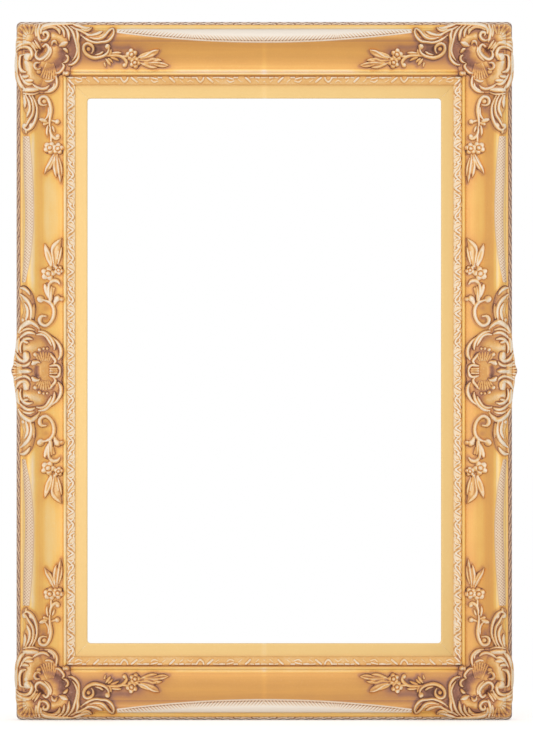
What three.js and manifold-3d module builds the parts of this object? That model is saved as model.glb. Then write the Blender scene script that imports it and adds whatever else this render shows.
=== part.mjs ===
// Ornate picture frame: four mitred and gilded wooden rails with an inner slip and applied carving,
// held together and hung by the hardware on its back.
import * as THREE from 'three';
import { mergeVertices } from 'three/addons/utils/BufferGeometryUtils.js';
import Module from 'manifold-3d';

const wasm = await Module();
wasm.setup();

// Driving sizes in millimetres
const frameWidth = 600;
const frameHeight = 845;
const sideRailWidth = 85.5;         // outer edge to sight edge on the upright rails
const endRailWidth = 92;            // the same on the top and bottom rails
const outerCornerRadius = 6;
const sightCornerRadius = 4;

// Heights of the rail moulding above the rails' back, and the widths of its members on an upright rail
const outerWallHeight = 22;
const edgeRollWidth = 5;
const edgeRollHeight = 29.6;
const filletEnd = 7.8;
const filletHeight = 30.2;
const crestCentre = 15.5;
const crestRadius = 8;
const crestHeight = 37.5;
const crestStart = 172;             // degrees round the crest's arc, from its outer side
const crestSweep = 127;
const coveEnd = 55.8;
const coveFloorHeight = 17;
const beadWidth = 4.5;
const beadHeight = 20.5;
const lipStart = 60.7;
const lipEnd = 70.5;
const lipHeight = 19;               // the leaf strip's top next to the bead
const lipEdgeHeight = 15;           // and at its inner edge
const lipStripThickness = 3.2;
const rebateWidth = 6.5;            // under the lip, where the slip sits
const rebateDepth = 11;

// Slip and the picture's rebate behind it
const slipThickness = 10.7;
const pictureRebateWidth = 6.3;
const pictureRebateDepth = 6.5;
const pictureCornerRadius = 1;

// Applied carving
const carvingMatHeight = 2.6;       // the thin ground that the scrolls stand on
const overhang = 8;                 // how far the carving's ground may reach past the outer edge
const overhangUnderside = 16;       // height of the overhanging ground's underside
const carvingCoverage = 66;         // offset from the outer edge where the ground stops at the latest
const groundUnderside = 12;         // where the ground ends inside the rails, before they are cut out of it
const bandHeight = 2.4;
const bandCorner = 122;             // where the top and bottom crest bands start, from the outer corner
const bandEndWidth = 5;
const bandMiddleWidth = 16.5;

// Cutters run this far past what they cut, and up to a height above everything
const past = 1;
const overTop = 80;

// Clearances
const seatGap = 0.3;
const carvingGap = 0.35;
const mitreOverlap = 0.2;           // where the carving's ground is joined across a mitre

// Hardware on the back
const bumperThickness = 6;
const bumperRadius = 6;
const bumperOffset = 30;
const bumperDrop = 62;
const nailOffset = 44;
const nailLeg = 9;
const nailThickness = 1;
const nailDepth = 10;
const screwRadius = 1.5;
const screwDepth = 12;
const screwHeadRadius = 3.2;
const screwHeadHeight = 1.6;
const screwSlotWidth = 0.8;
const screwSlotDepth = 0.7;
const buttonWidth = 11;
const buttonThickness = 1.6;
const buttonReach = 20;
const buttonSetback = 9;            // from the pivot to the rail's rebate
const ringDrop = 210;               // from the top of the frame to the hanger rings' pins
const strapOffset = 32;
const strapWidth = 12;
const strapLength = 40;
const strapThickness = 1;
const wireRadius = 1.25;
const ringLength = 19;
const ringSideClearance = 0.8;
const strapScrewPlaces = [25, 34];  // below the ring's pin, clear of the hanging ring

// Derived sizes
const endScale = endRailWidth / sideRailWidth;
const openingWidth = frameWidth - 2 * sideRailWidth;
const openingHeight = frameHeight - 2 * endRailWidth;
const rebateStart = lipEnd - rebateWidth;
const ringPinHeight = frameHeight / 2 - ringDrop;
const knuckleBore = wireRadius + seatGap;
const knuckleRadius = knuckleBore + strapThickness;
const ringHalfWidth = strapWidth / 2 + ringSideClearance + wireRadius;

const gilt = { color: 0xe6b06c, roughness: 0.5, metalness: 0.35 };
const paleGilt = { color: 0xf3d596, roughness: 0.55, metalness: 0.3 };
const steel = { color: 0xa9abab, roughness: 0.4, metalness: 0.9 };
const brass = { color: 0xc2a154, roughness: 0.4, metalness: 0.9 };
const rubber = { color: 0x4b4641, roughness: 0.85, metalness: 0 };

// Solids and booleans

function solidOf(geometry) {
  const bare = geometry.clone();
  bare.deleteAttribute('normal');
  bare.deleteAttribute('uv');
  const merged = mergeVertices(bare, 1e-4);
  return new wasm.Manifold(new wasm.Mesh({
    numProp: 3,
    vertProperties: new Float32Array(merged.attributes.position.array),
    triVerts: new Uint32Array(merged.index.array),
  }));
}

function geometryOf(solid) {
  const mesh = solid.getMesh();
  const geometry = new THREE.BufferGeometry();
  geometry.setAttribute('position', new THREE.BufferAttribute(mesh.vertProperties, 3));
  geometry.setIndex(new THREE.BufferAttribute(mesh.triVerts, 1));
  geometry.computeVertexNormals();
  return geometry;
}

const join = (solids) => solids.reduce((whole, solid) => whole.add(solid));

// A flat outline through points, pushed up from one height to another
function prism(outline, bottom, top, holes = []) {
  const shape = outline instanceof THREE.Shape ? outline : new THREE.Shape(outline);
  shape.holes.push(...holes);
  const geometry = new THREE.ExtrudeGeometry(shape, {
    depth: top - bottom, bevelEnabled: false, curveSegments: 6,
  });
  return geometry.translate(0, 0, bottom);
}

function roundedRectangle(width, height, radius) {
  const shape = new THREE.Shape();
  const x = width / 2 - radius;
  const y = height / 2 - radius;
  shape.absarc(x, y, radius, 0, Math.PI / 2);
  shape.absarc(-x, y, radius, Math.PI / 2, Math.PI);
  shape.absarc(-x, -y, radius, Math.PI, 1.5 * Math.PI);
  shape.absarc(x, -y, radius, 1.5 * Math.PI, 2 * Math.PI);
  shape.closePath();
  return shape;
}

// Turned over left to right, top to bottom or both, with the faces kept pointing out
function mirrored(geometry, flipX, flipY) {
  const copy = geometry.clone().scale(flipX ? -1 : 1, flipY ? -1 : 1, 1);
  if (flipX !== flipY) {
    const index = copy.index.array;
    for (let i = 0; i < index.length; i += 3) {
      [index[i], index[i + 1]] = [index[i + 1], index[i]];
    }
  }
  copy.computeVertexNormals();
  return copy;
}

// The rail's moulding, as offset from the outer edge of an upright rail and height above the back

// Points round the crest, just outside its arc
function crest() {
  const steps = 4;
  const half = THREE.MathUtils.degToRad(crestSweep) / steps / 2;
  const reach = crestRadius / Math.cos(half);
  const points = [];
  for (let i = 0; i <= steps; i += 1) {
    const angle = THREE.MathUtils.degToRad(crestStart - (crestSweep * i) / steps);
    const offset = Math.max(crestCentre + reach * Math.cos(angle), filletEnd + seatGap);
    points.push([offset, crestHeight - crestRadius + reach * Math.sin(angle)]);
  }
  return points;
}

function cove(start, steps) {
  const points = [];
  for (let i = 1; i <= steps; i += 1) {
    const offset = THREE.MathUtils.lerp(start[0], coveEnd, i / steps);
    const rest = (coveEnd - offset) / (coveEnd - start[0]);
    points.push([offset, coveFloorHeight + (start[1] - coveFloorHeight) * rest ** 2]);
  }
  return points;
}

// The bead as an eight-sided roll on the floor of the cove
function bead() {
  const cut = beadWidth * 0.25;
  return [
    [coveEnd, beadHeight - cut], [coveEnd + cut, beadHeight],
    [coveEnd + beadWidth - cut, beadHeight], [coveEnd + beadWidth, beadHeight - cut],
  ];
}

function mouldingTop(coveSteps) {
  const crestPoints = crest();
  return [
    [0, outerWallHeight],
    [edgeRollWidth * 0.3, outerWallHeight + (edgeRollHeight - outerWallHeight) * 0.65],
    [edgeRollWidth, edgeRollHeight],
    [filletEnd, filletHeight],
    ...crestPoints,
    ...cove(crestPoints[crestPoints.length - 1], coveSteps),
    ...bead(),
  ];
}

const lipTop = [
  [lipStart, lipHeight],
  [lipStart + (lipEnd - lipStart) * 0.6, lipHeight - (lipHeight - lipEdgeHeight) * 0.35],
  [lipEnd, lipEdgeHeight],
];
// The carving bears on the moulding at wider steps, which pass over its hollows
const bearing = [...mouldingTop(2), ...lipTop];

// Height of the moulding, with the lip strip on it, at a place given from the top left outer corner
function surfaceHeight(u, v) {
  const offset = Math.min(u, v / endScale);
  const next = bearing.findIndex((point) => point[0] > offset);
  if (next <= 0) {
    return next === 0 ? outerWallHeight : lipEdgeHeight;
  }
  const [a, b] = [bearing[next - 1], bearing[next]];
  return THREE.MathUtils.mapLinear(offset, a[0], b[0], a[1], b[1]);
}

// A section moved outwards by a distance, corner by corner
function grown(points, distance) {
  const normal = (a, b) => new THREE.Vector2(-(b[1] - a[1]), b[0] - a[0]).normalize();
  return points.map((point, i) => {
    const before = i > 0 ? normal(points[i - 1], point) : normal(point, points[1]);
    const after = i < points.length - 1 ? normal(point, points[i + 1]) : before;
    const middle = before.clone().add(after).normalize();
    const reach = Math.min(distance / Math.max(middle.dot(before), 0.5), 2 * distance);
    return [point[0] + middle.x * reach, point[1] + middle.y * reach];
  });
}

// A section run along one side of the frame: 0 left, 1 bottom, 2 right, 3 top
function alongSide(section, side) {
  const upright = side % 2 === 0;
  const scale = upright ? 1 : endScale;
  const length = upright ? frameHeight : frameWidth;
  const across = upright ? frameWidth : frameHeight;
  const outline = section.map(([offset, height]) => new THREE.Vector2(offset * scale, height));
  const geometry = new THREE.ExtrudeGeometry(new THREE.Shape(outline), {
    depth: length + 4 * overhang, bevelEnabled: false,
  });
  geometry.translate(0, 0, -length / 2 - 2 * overhang).rotateX(Math.PI / 2);
  geometry.translate(-across / 2, 0, 0).rotateZ(side * Math.PI / 2);
  return solidOf(geometry);
}

// The plan of one side between its two mitres, with half the joint's clearance taken off each
function mitredPlan(side, gap = seatGap) {
  const upright = side % 2 === 0;
  const slope = upright ? endScale : 1 / endScale;
  const halfLength = (upright ? frameHeight : frameWidth) / 2;
  const across = upright ? frameWidth : frameHeight;
  const width = (upright ? sideRailWidth : endRailWidth) + overhang;
  const shift = (gap / 2) * Math.hypot(1, slope);
  const end = (offset) => halfLength - offset * slope - shift;
  const outline = [
    new THREE.Vector2(-overhang, end(-overhang)),
    new THREE.Vector2(-overhang, -end(-overhang)),
    new THREE.Vector2(width, -end(width)),
    new THREE.Vector2(width, end(width)),
  ];
  const geometry = prism(outline, -past, overTop);
  geometry.translate(-across / 2, 0, 0).rotateZ(side * Math.PI / 2);
  return solidOf(geometry);
}

const sideNames = ['left', 'bottom', 'right', 'top'];
const cornerFlips = [
  ['top_left', false, false], ['top_right', true, false],
  ['bottom_left', false, true], ['bottom_right', true, true],
];

// Places given from the top left outer corner
const fromCorner = (u, v) => new THREE.Vector2(u - frameWidth / 2, frameHeight / 2 - v);
const fromMiddle = (u, rise) => new THREE.Vector2(u - frameWidth / 2, rise);

// Rails

const railSection = [
  ...mouldingTop(6),
  [coveEnd + beadWidth, coveFloorHeight],
  [lipStart, coveFloorHeight],
  [lipStart, lipHeight - lipStripThickness - seatGap],
  [lipEnd, lipEdgeHeight - lipStripThickness / 2 - seatGap],
  [lipEnd, rebateDepth],
  [rebateStart, rebateDepth],
  [rebateStart, 0],
  [0, 0],
];

function rail(side) {
  const outer = solidOf(prism(roundedRectangle(frameWidth, frameHeight, outerCornerRadius), -past, overTop));
  return alongSide(railSection, side).intersect(mitredPlan(side)).intersect(outer);
}

function lipStrip(side) {
  const section = [
    [lipStart + seatGap, lipHeight - lipStripThickness],
    [lipStart + seatGap, lipHeight],
    [lipStart + (lipEnd - lipStart) * 0.6, lipHeight - (lipHeight - lipEdgeHeight) * 0.35],
    [lipEnd, lipEdgeHeight],
    [lipEnd, lipEdgeHeight - lipStripThickness / 2],
  ];
  return alongSide(section, side).intersect(mitredPlan(side));
}

// The slip is flat, so its strips are cut out of a board by the sight opening and the picture's rebate
function slipStrip(side) {
  const start = rebateStart + seatGap;
  const board = [
    [start, 0], [start, slipThickness],
    [sideRailWidth + sightCornerRadius, slipThickness], [sideRailWidth + sightCornerRadius, 0],
  ];
  const sight = roundedRectangle(openingWidth, openingHeight, sightCornerRadius);
  const picture = roundedRectangle(
    openingWidth + 2 * pictureRebateWidth, openingHeight + 2 * pictureRebateWidth, pictureCornerRadius,
  );
  return alongSide(board, side).intersect(mitredPlan(side))
    .subtract(solidOf(prism(sight, -past, slipThickness + past)))
    .subtract(solidOf(prism(picture, -past, pictureRebateDepth)));
}

// Carving

// A tapering bar along hand-set places [across, along, radius], its middle a given rise above the moulding
function bar(places, where, rise = 1, sides = 3, stepsEach = 1) {
  const steps = (places.length - 1) * stepsEach;
  const plan = new THREE.CatmullRomCurve3(places.map(([a, b]) => new THREE.Vector3(a, b, 0)));
  const rings = [];
  for (let i = 0; i <= steps; i += 1) {
    const share = (i / steps) * (places.length - 1);
    const before = places[Math.floor(share)];
    const after = places[Math.ceil(share)];
    const radius = THREE.MathUtils.lerp(before[2], after[2], share % 1);
    const point = plan.getPoint(i / steps);
    const flat = where(point.x, point.y);
    rings.push({ radius, centre: new THREE.Vector3(flat.x, flat.y, where.height(point.x, point.y) + rise) });
  }
  const geometry = new THREE.CylinderGeometry(1, 1, 1, sides, steps);
  const position = geometry.attributes.position;
  for (let i = 0; i < position.count; i += 1) {
    const step = Math.round((0.5 - position.getY(i)) * steps);
    const { centre, radius } = rings[step];
    const from = rings[Math.max(step - 1, 0)].centre;
    const to = rings[Math.min(step + 1, steps)].centre;
    const ahead = new THREE.Vector2(to.x - from.x, to.y - from.y).normalize();
    const sideways = position.getX(i) * radius;
    position.setXYZ(
      i, centre.x - ahead.y * sideways, centre.y + ahead.x * sideways, centre.z + position.getZ(i) * radius,
    );
  }
  return facingOut(geometry);
}

// A sweep whose faces point in, because of the way it runs, is turned inside out
function facingOut(geometry) {
  const solid = solidOf(geometry);
  if (solid.volume() > 0) {
    return solid;
  }
  const index = geometry.index.array;
  for (let i = 0; i < index.length; i += 3) {
    [index[i], index[i + 1]] = [index[i + 1], index[i]];
  }
  return solidOf(geometry);
}

// A rounded boss on the moulding
function boss(a, b, radius, where, rise = 0.5, height = radius * 0.8) {
  const flat = where(a, b);
  const reach = radius / Math.cos(Math.PI / 6);
  const geometry = new THREE.SphereGeometry(1, 6, 4).rotateX(Math.PI / 2).scale(reach, reach, height);
  return solidOf(geometry.translate(flat.x, flat.y, where.height(a, b) + rise));
}

const cornerPlace = (u, v) => fromCorner(u, v);
cornerPlace.height = surfaceHeight;
const middlePlace = (u, rise) => fromMiddle(u, rise);
middlePlace.height = (u) => surfaceHeight(u, frameHeight);

// Everything that the carving sits on, with the carving's clearance added
const carvingSeat = (() => {
  const section = [[-carvingGap, -past], ...grown([[0, 0], ...bearing], carvingGap).slice(1), [lipEnd, -past]];
  return join([0, 1, 2, 3].map((side) => alongSide(section, side).intersect(mitredPlan(side, -mitreOverlap))));
})();

const matSection = [
  [-overhang, overhangUnderside],
  [-overhang, outerWallHeight + carvingMatHeight],
  ...bearing.filter((point) => point[0] < coveEnd - beadWidth)
    .map(([offset, height]) => [offset, height + carvingMatHeight]),
  [coveEnd - beadWidth / 2, coveFloorHeight + carvingMatHeight],
  [coveEnd, beadHeight + carvingMatHeight],
  [carvingCoverage, beadHeight + carvingMatHeight],
  [carvingCoverage, groundUnderside],
  [past, groundUnderside],
  [0, overhangUnderside],
];

function matOver(outline, sides) {
  const block = solidOf(prism(outline, 0, overTop));
  return join(sides.map((side) => (
    alongSide(matSection, side).intersect(mitredPlan(side, -mitreOverlap)).intersect(block)
  )));
}

function carving(outline, sides, pieces) {
  const whole = outline ? [matOver(outline, sides), ...pieces] : pieces;
  return geometryOf(join(whole).subtract(carvingSeat));
}

// Corner carving: a fan in the corner, two C-scrolls, a shell towards the opening and a frond along each rail
function cornerCarving() {
  const outline = [
    [-1, 38], [-1, 25], [1, 16], [0.7, 9], [4, 4.3], [9, 3], [16, 3.5], [28, 3.5], [33, 2.5], [42, 1],
    [60, 0.8], [69, 1], [77, 4.3], [86, 6.5], [91, 6], [93, 8.5], [90, 12], [93, 14.5], [99, 13],
    [104, 11.5], [108, 12], [112, 8], [116, 6.5], [119.5, 8], [120.5, 13], [118.5, 19], [114.5, 24.5],
    [109, 27], [99, 27.5], [92, 25.8], [86, 22.8], [80.5, 20], [77.3, 24], [77.3, 43], [73, 50.5],
    [66, 55], [65.5, 63], [61, 67], [56, 64], [51, 66], [51, 76], [46, 83], [40, 86.8], [31, 87.3],
    [23, 90], [25.5, 98], [27.2, 105], [27, 114], [25.5, 121], [21.5, 130], [15, 134.5], [13, 137],
    [7.5, 134], [6.5, 128], [11, 121], [12.5, 113], [8.5, 105], [8.5, 97], [6.5, 89], [3, 80],
    [0.5, 75], [-2, 64], [-2, 45],
  ].map(([u, v]) => fromCorner(u, v));
  const strokes = [
    // upper scroll, its volute and the fingers that spring from it
    [2, [30, 16, 2], [31, 9, 2.4], [36, 5.4, 2.6], [44, 4, 2.4], [56, 3.2, 2.2], [69, 3.6, 2]],
    [3, [42, 6, 1.6], [50, 8, 2], [53, 15, 1.6]],
    [3, [57, 4, 1.6], [63, 12, 2], [64, 23, 1.6]],
    [2, [74, 14, 1.5], [74.5, 25, 1.8], [75.3, 38, 2], [71, 49, 2.2], [62, 53, 2]],
    // scroll on the upright
    [3, [1, 31, 1.6], [10, 27, 2.4], [19, 29, 2.4], [23, 36, 1.8]],
    [2, [0, 40, 1.8], [0.5, 54, 2.6], [5, 68, 2.8], [9, 81, 2.4]],
    [3, [18, 50, 3], [19, 60, 4.2], [21, 72, 3]],
    [2.5, [9, 84, 2], [17, 87, 3], [28, 85, 2.6], [38, 79, 1.6]],
    [2, [48, 64, 2], [49, 74, 2.2], [43, 82, 2], [33, 84.5, 1.6]],
    // ribbon loop and shell
    [4, [33, 30, 2], [39, 31, 2.2], [38, 39, 2.4], [29, 45.5, 2.4], [24, 40, 2]],
    [2.5, [35, 54, 2], [33.5, 70, 1.6]],
    [2.5, [40, 55, 2.2], [38.5, 71, 1.8]],
    [2.5, [58, 33, 1.6], [62, 40, 2], [61, 48, 1.8]],
    // frond along the top rail
    [2, [90, 20, 1.6], [100, 21.5, 2], [109, 15.5, 2], [116, 9, 1.4]],
    [1.8, [80, 17.5, 1.4], [89, 22.8, 1.8], [101, 25.3, 2], [112, 23, 2], [118.5, 12, 1.6]],
    // frond down the upright
    [2, [11, 88, 1.6], [15, 98, 2], [15.5, 108, 2], [14.5, 116, 1.4]],
    [1.8, [19, 91, 1.4], [24, 100, 1.8], [24.8, 112, 2], [20, 127, 2], [12, 133, 1.6]],
  ].map(([rise, ...places]) => bar(places, cornerPlace, rise));
  const rays = [[6, 7], [19, 5], [2, 23]]
    .map(([u, v]) => bar([[17, 20, 1.4], [u, v, 2.2]], cornerPlace, 2.4));
  const bosses = [
    boss(41, 43, 10, cornerPlace, 1.5, 6.5),
    boss(61, 61.5, 3.6, cornerPlace, 2, 3.4),
    boss(14, 43.5, 4.2, cornerPlace, 3, 4),
  ];
  return carving(outline, [0, 3], [...strokes, ...rays, ...bosses]);
}

// Spray of flowers and leaves springing from a small scroll, one along each rail from the corner
function topSpray() {
  const strokes = [
    [1, [90.5, 36.5, 1.6], [93, 32.5, 2], [87, 27.3, 1.7], [81.6, 32, 1.8], [85, 40, 2.2], [95, 44, 2.4],
      [107, 41, 2.2], [112, 34, 2], [111, 30, 2.2]],
    [1, [106, 41.5, 1.8], [118, 41, 1.8], [128, 43, 2], [134, 47, 1.6], [133, 53, 2]],
    [1, [108, 43, 1.4], [111, 48, 2], [115, 53, 1]],
    [1, [126, 42.5, 1.6], [138, 41, 1.6]],
    [1, [142, 43, 1.8], [156, 40.5, 3], [165, 36.5, 2.6], [172, 34, 0.8]],
    [1, [145, 46.5, 1.8], [158, 47, 2.2], [168, 45.4, 2], [176, 46, 0.8]],
    [1, [149, 49, 1.6], [162, 50.5, 2.4], [173, 52.5, 2], [184, 52.5, 0.8]],
  ].map(([rise, ...places]) => bar(places, cornerPlace, rise));
  const bosses = [boss(139.5, 40.5, 7.4, cornerPlace, 0.5, 5), boss(144, 49.5, 6.6, cornerPlace, 0.5, 4.6)];
  return carving(null, [], [...strokes, ...bosses]);
}

function sideSpray() {
  const strokes = [
    [1, [37, 100, 1.6], [31.5, 100.5, 1.9], [29.3, 95.5, 1.8], [33, 91.5, 2], [39, 95, 2.2], [42, 106, 2.4],
      [41, 117, 2.2], [40, 129, 2]],
    [1, [29, 116, 2.2], [34, 119, 3.2], [40, 119, 2]],
    [1, [41, 118, 1.6], [48.5, 121, 3.2]],
    [1, [40, 126, 1.6], [37, 138, 1.2]],
    [1, [40, 128, 1.8], [42.5, 136, 1.6], [50, 140.5, 2.4]],
    [1, [42, 136, 1.5], [42, 148, 1.5]],
    [1, [42, 154, 2], [42, 168, 2.8], [38, 177, 2.2], [34, 184, 0.8]],
    [1, [46, 153, 2], [46, 172, 2.6], [48, 188, 1]],
    [1, [49, 154, 1.8], [51, 174, 2.6], [53, 186, 2], [53, 195, 0.8]],
  ].map(([rise, ...places]) => bar(places, cornerPlace, rise));
  const bosses = [boss(40.5, 153.5, 6.8, cornerPlace, 0.5, 4.8), boss(50, 153, 6.2, cornerPlace, 0.5, 4.6)];
  return carving(null, [], [...strokes, ...bosses]);
}

// Middle carving of an upright rail: a shell between mirrored scrolls, with a frond up and down the rail
function middleCarving() {
  const half = [
    [-6.5, 0], [-3.8, 8], [-3.4, 14], [-2, 22], [-0.5, 35], [0.5, 45], [3, 53], [6, 59], [6.5, 67],
    [9, 72], [6.5, 82], [4, 91], [3.5, 100], [8, 103.5], [14, 101.5], [20, 94], [23, 84], [24.5, 75],
    [22.8, 62], [25, 53], [31, 49.5], [38, 46.5], [45, 42], [51, 37], [56, 29], [57.5, 20], [55, 12],
    [56.5, 5],
  ];
  const outline = [...half, ...half.slice(1).reverse().map(([u, rise]) => [u, -rise])]
    .map(([u, rise]) => fromMiddle(u, rise));
  const halfStrokes = [
    [3, [0, 22, 2], [4, 14, 2.2], [11, 12, 2.4], [14.5, 19, 2]],
    [3, [4.5, 24, 1.6], [6, 34, 2.2], [13, 39.3, 2.2], [20, 38, 1.6]],
    [2.5, [3, 46, 2], [10, 56, 3], [19, 58, 3], [27, 51, 2]],
    [2.5, [26, 46.5, 1.8], [36, 45, 2.2], [43, 38, 2.2], [46, 27, 1.8]],
    [2.5, [45, 40, 1.6], [52, 32, 2], [54.5, 21, 2], [51, 13, 1.6]],
    [3, [21, 10, 1.8], [27, 10, 2], [29, 2, 1.8]],
    [3, [40, 21, 1.8], [47, 15, 2.2], [46, 9, 1.8]],
    [2.2, [6, 91, 1.6], [14, 84, 2], [18.5, 74, 2.2], [17.5, 62, 2]],
    [2.2, [6, 100, 1.8], [12, 99, 2], [18, 92, 1.6]],
  ];
  const strokes = [1, -1].flatMap((way) => halfStrokes.map(([rise, ...places]) => (
    bar(places.map(([u, up, radius]) => [u, way * up, radius]), middlePlace, rise)
  )));
  const bosses = [
    bar([[18, 0, 1.8], [-5, 0, 2.4]], middlePlace, 3),
    boss(36, 0, 9, middlePlace, 1.5, 5.5),
    ...[1, -1].map((way) => boss(33, way * 26, 6, middlePlace, 1.5, 5)),
  ];
  return carving(outline, [0], [...strokes, ...bosses]);
}

function middleSpray() {
  const strokes = [
    [1, [33, 86, 1.8], [41, 83, 2.2], [45, 70, 2.4], [40, 57.5, 2.2], [32, 55.8, 2], [28.6, 62, 1.9],
      [33, 68.3, 1.8], [38, 65.5, 1.8]],
    [1, [42.5, 80, 1.8], [41, 92, 1.8], [40, 104, 1.6], [39.5, 114, 1.6]],
    [1, [27, 88, 3], [34, 86, 2]],
    [1, [41, 92, 1.8], [54, 91.5, 2.4]],
    [1, [40, 103, 1.4], [45, 111, 1.8], [52, 109, 1.8], [50, 104.5, 1.6]],
    [1, [41, 121, 2], [40, 140, 2.6], [37, 149, 2], [34, 156, 0.8]],
    [1, [44, 120, 2], [44, 142, 2.4], [47, 153, 2], [54, 161, 1]],
    [1, [48, 122, 2], [51.5, 139, 2.4], [54, 152, 1]],
  ].map(([rise, ...places]) => bar(places, middlePlace, rise));
  const bosses = [boss(39.5, 118.5, 6.8, middlePlace, 0.5, 4.8), boss(49, 122.5, 6, middlePlace, 0.5, 4.6)];
  return carving(null, [], [...strokes, ...bosses]);
}

// Crest bands: slender crescents laid on the crest and the top of the cove

function bandOver(outline, side) {
  const section = [
    ...bearing.filter((point) => point[0] < coveEnd).map(([offset, height]) => [offset, height + bandHeight]),
    [coveEnd, groundUnderside],
    [past, groundUnderside],
  ];
  const block = solidOf(prism(outline, 0, overTop));
  return geometryOf(alongSide(section, side).intersect(block).subtract(carvingSeat));
}

function topBand() {
  const start = filletEnd * endScale + 1;
  const halfSpan = frameWidth / 2 - bandCorner;
  const outline = [];
  const steps = 16;
  for (let i = 0; i <= steps; i += 1) {
    const share = (2 * i) / steps - 1;
    const width = bandMiddleWidth - (bandMiddleWidth - bandEndWidth) * share ** 2;
    outline.push(fromCorner(frameWidth / 2 + share * halfSpan, start + width));
  }
  outline.push(fromCorner(frameWidth - bandCorner, start), fromCorner(bandCorner, start));
  return bandOver(outline, 3);
}

// The band on an upright runs from the corner's frond to the middle carving's, bowed towards the opening
function sideBand() {
  const startDrop = 139;
  const endRise = 107;
  const span = frameHeight / 2 - endRise - startDrop;
  const bow = (offsets) => new THREE.SplineCurve(offsets.map(([share, offset]) => (
    fromCorner(offset, startDrop + share * span)
  ))).getPoints(12);
  const outer = bow([[0, 8.5], [0.25, 10.5], [0.55, 12.2], [0.8, 10.5], [1, 7]]);
  const inner = bow([[0, 14], [0.25, 19], [0.55, 22], [0.8, 18.5], [1, 11.5]]);
  return bandOver([...outer, ...inner.reverse()], 0);
}

// Back hardware, in the frame's own space: the rails' back is at height 0 and the wall below it

function screwProfile(clearance, headHeight) {
  const head = screwHeadRadius;
  return [
    [0, -headHeight], [head * 0.75, -headHeight], [head, -headHeight * 0.6], [head, 0],
    [screwRadius, 0], [screwRadius, screwDepth - 2 + clearance], [0, screwDepth],
  ].map(([radius, height]) => new THREE.Vector2(radius, height));
}

// A slotted screw whose head sits under a plate of a given thickness
function screw(plateThickness) {
  const turned = new THREE.LatheGeometry(screwProfile(0, screwHeadHeight), 8).rotateX(Math.PI / 2);
  const slot = new THREE.BoxGeometry(3 * screwHeadRadius, screwSlotWidth, 2 * screwSlotDepth)
    .translate(0, 0, -screwHeadHeight);
  const body = facingOut(turned).subtract(solidOf(slot));
  return geometryOf(body).translate(0, 0, -plateThickness - 2 * seatGap);
}

function screwHole() {
  const radius = screwRadius + seatGap;
  return solidOf(new THREE.CylinderGeometry(radius, radius, screwDepth + 2, 8)
    .rotateX(Math.PI / 2).translate(0, 0, (screwDepth + 2) / 2 - 1.5));
}

function buttonPlate() {
  const outline = new THREE.Shape();
  outline.absarc(0, 0, buttonWidth / 2, Math.PI / 2, 1.5 * Math.PI);
  outline.absarc(buttonReach, 0, buttonWidth / 2, -Math.PI / 2, Math.PI / 2);
  const hole = new THREE.Path().absarc(0, 0, screwRadius + seatGap, 0, 2 * Math.PI);
  return prism(outline, -buttonThickness - seatGap, -seatGap, [hole]);
}

// The strap is bent from sheet: a plate that is screwed down and a knuckle round the ring's pin
function strap() {
  const plate = prism(roundedRectangle(strapWidth, strapLength, 3), -strapThickness, 0)
    .translate(0, -strapLength / 2, -seatGap);
  const knuckle = new THREE.CylinderGeometry(knuckleRadius, knuckleRadius, strapWidth, 12)
    .rotateZ(Math.PI / 2).translate(0, 0, -seatGap - knuckleRadius);
  const bore = new THREE.CylinderGeometry(knuckleBore, knuckleBore, strapWidth + 2, 12)
    .rotateZ(Math.PI / 2).translate(0, 0, -seatGap - knuckleRadius);
  let body = solidOf(plate).add(solidOf(knuckle)).subtract(solidOf(bore));
  for (const place of strapScrewPlaces) {
    body = body.subtract(screwHole().translate(0, -place, -2));
  }
  return geometryOf(body);
}

// The ring: a straight pin through the knuckle and a bow that hangs from it
function hangerRing() {
  const w = ringHalfWidth;
  const places = [
    [-w, 0], [-w * 1.08, -ringLength * 0.45], [-w * 0.72, -ringLength * 0.85], [0, -ringLength],
    [w * 0.72, -ringLength * 0.85], [w * 1.08, -ringLength * 0.45], [w, 0],
  ].map(([x, y]) => [x, y, wireRadius]);
  const flat = (x, y) => new THREE.Vector2(x, y);
  flat.height = () => 0;
  const bow = bar(places, flat, 0, 6, 2);
  const pin = new THREE.CylinderGeometry(wireRadius, wireRadius, 2 * w, 8).rotateZ(Math.PI / 2);
  const ends = [-w, w].map((x) => solidOf(new THREE.SphereGeometry(wireRadius, 8, 6).translate(x, 0, 0)));
  return geometryOf(join([bow, solidOf(pin), ...ends]));
}

// Corner fastener: a bent steel leaf driven across the mitre from the back
function cornerNail(gap) {
  const reach = nailLeg * Math.SQRT1_2;
  const half = nailThickness / 2 + gap;
  const outline = [
    [0, -half * Math.SQRT2], [-reach - gap, reach + gap - half * Math.SQRT2],
    [-reach - gap + half * Math.SQRT2, reach + gap], [0, half * Math.SQRT2],
    [reach + gap - half * Math.SQRT2, reach + gap], [reach + gap, reach + gap - half * Math.SQRT2],
  ].map(([x, y]) => new THREE.Vector2(x, y));
  const toCorner = Math.atan2(endScale, -1) - Math.PI / 2;
  const centre = fromCorner(nailOffset, nailOffset * endScale);
  return prism(outline, gap > 0 ? -past : 0, nailDepth + gap).rotateZ(toCorner).translate(centre.x, centre.y, 0);
}

// Assembly

const frame = new THREE.Group();
frame.rotation.x = Math.PI / 2;
frame.position.set(0, -bumperThickness, -ringPinHeight);

function place(name, geometry, finish, x = 0, y = 0, turn = 0, z = 0) {
  const mesh = new THREE.Mesh(geometry, new THREE.MeshStandardMaterial(finish));
  mesh.name = name;
  mesh.position.set(x, y, z);
  mesh.rotation.z = turn;
  frame.add(mesh);
}

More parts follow.
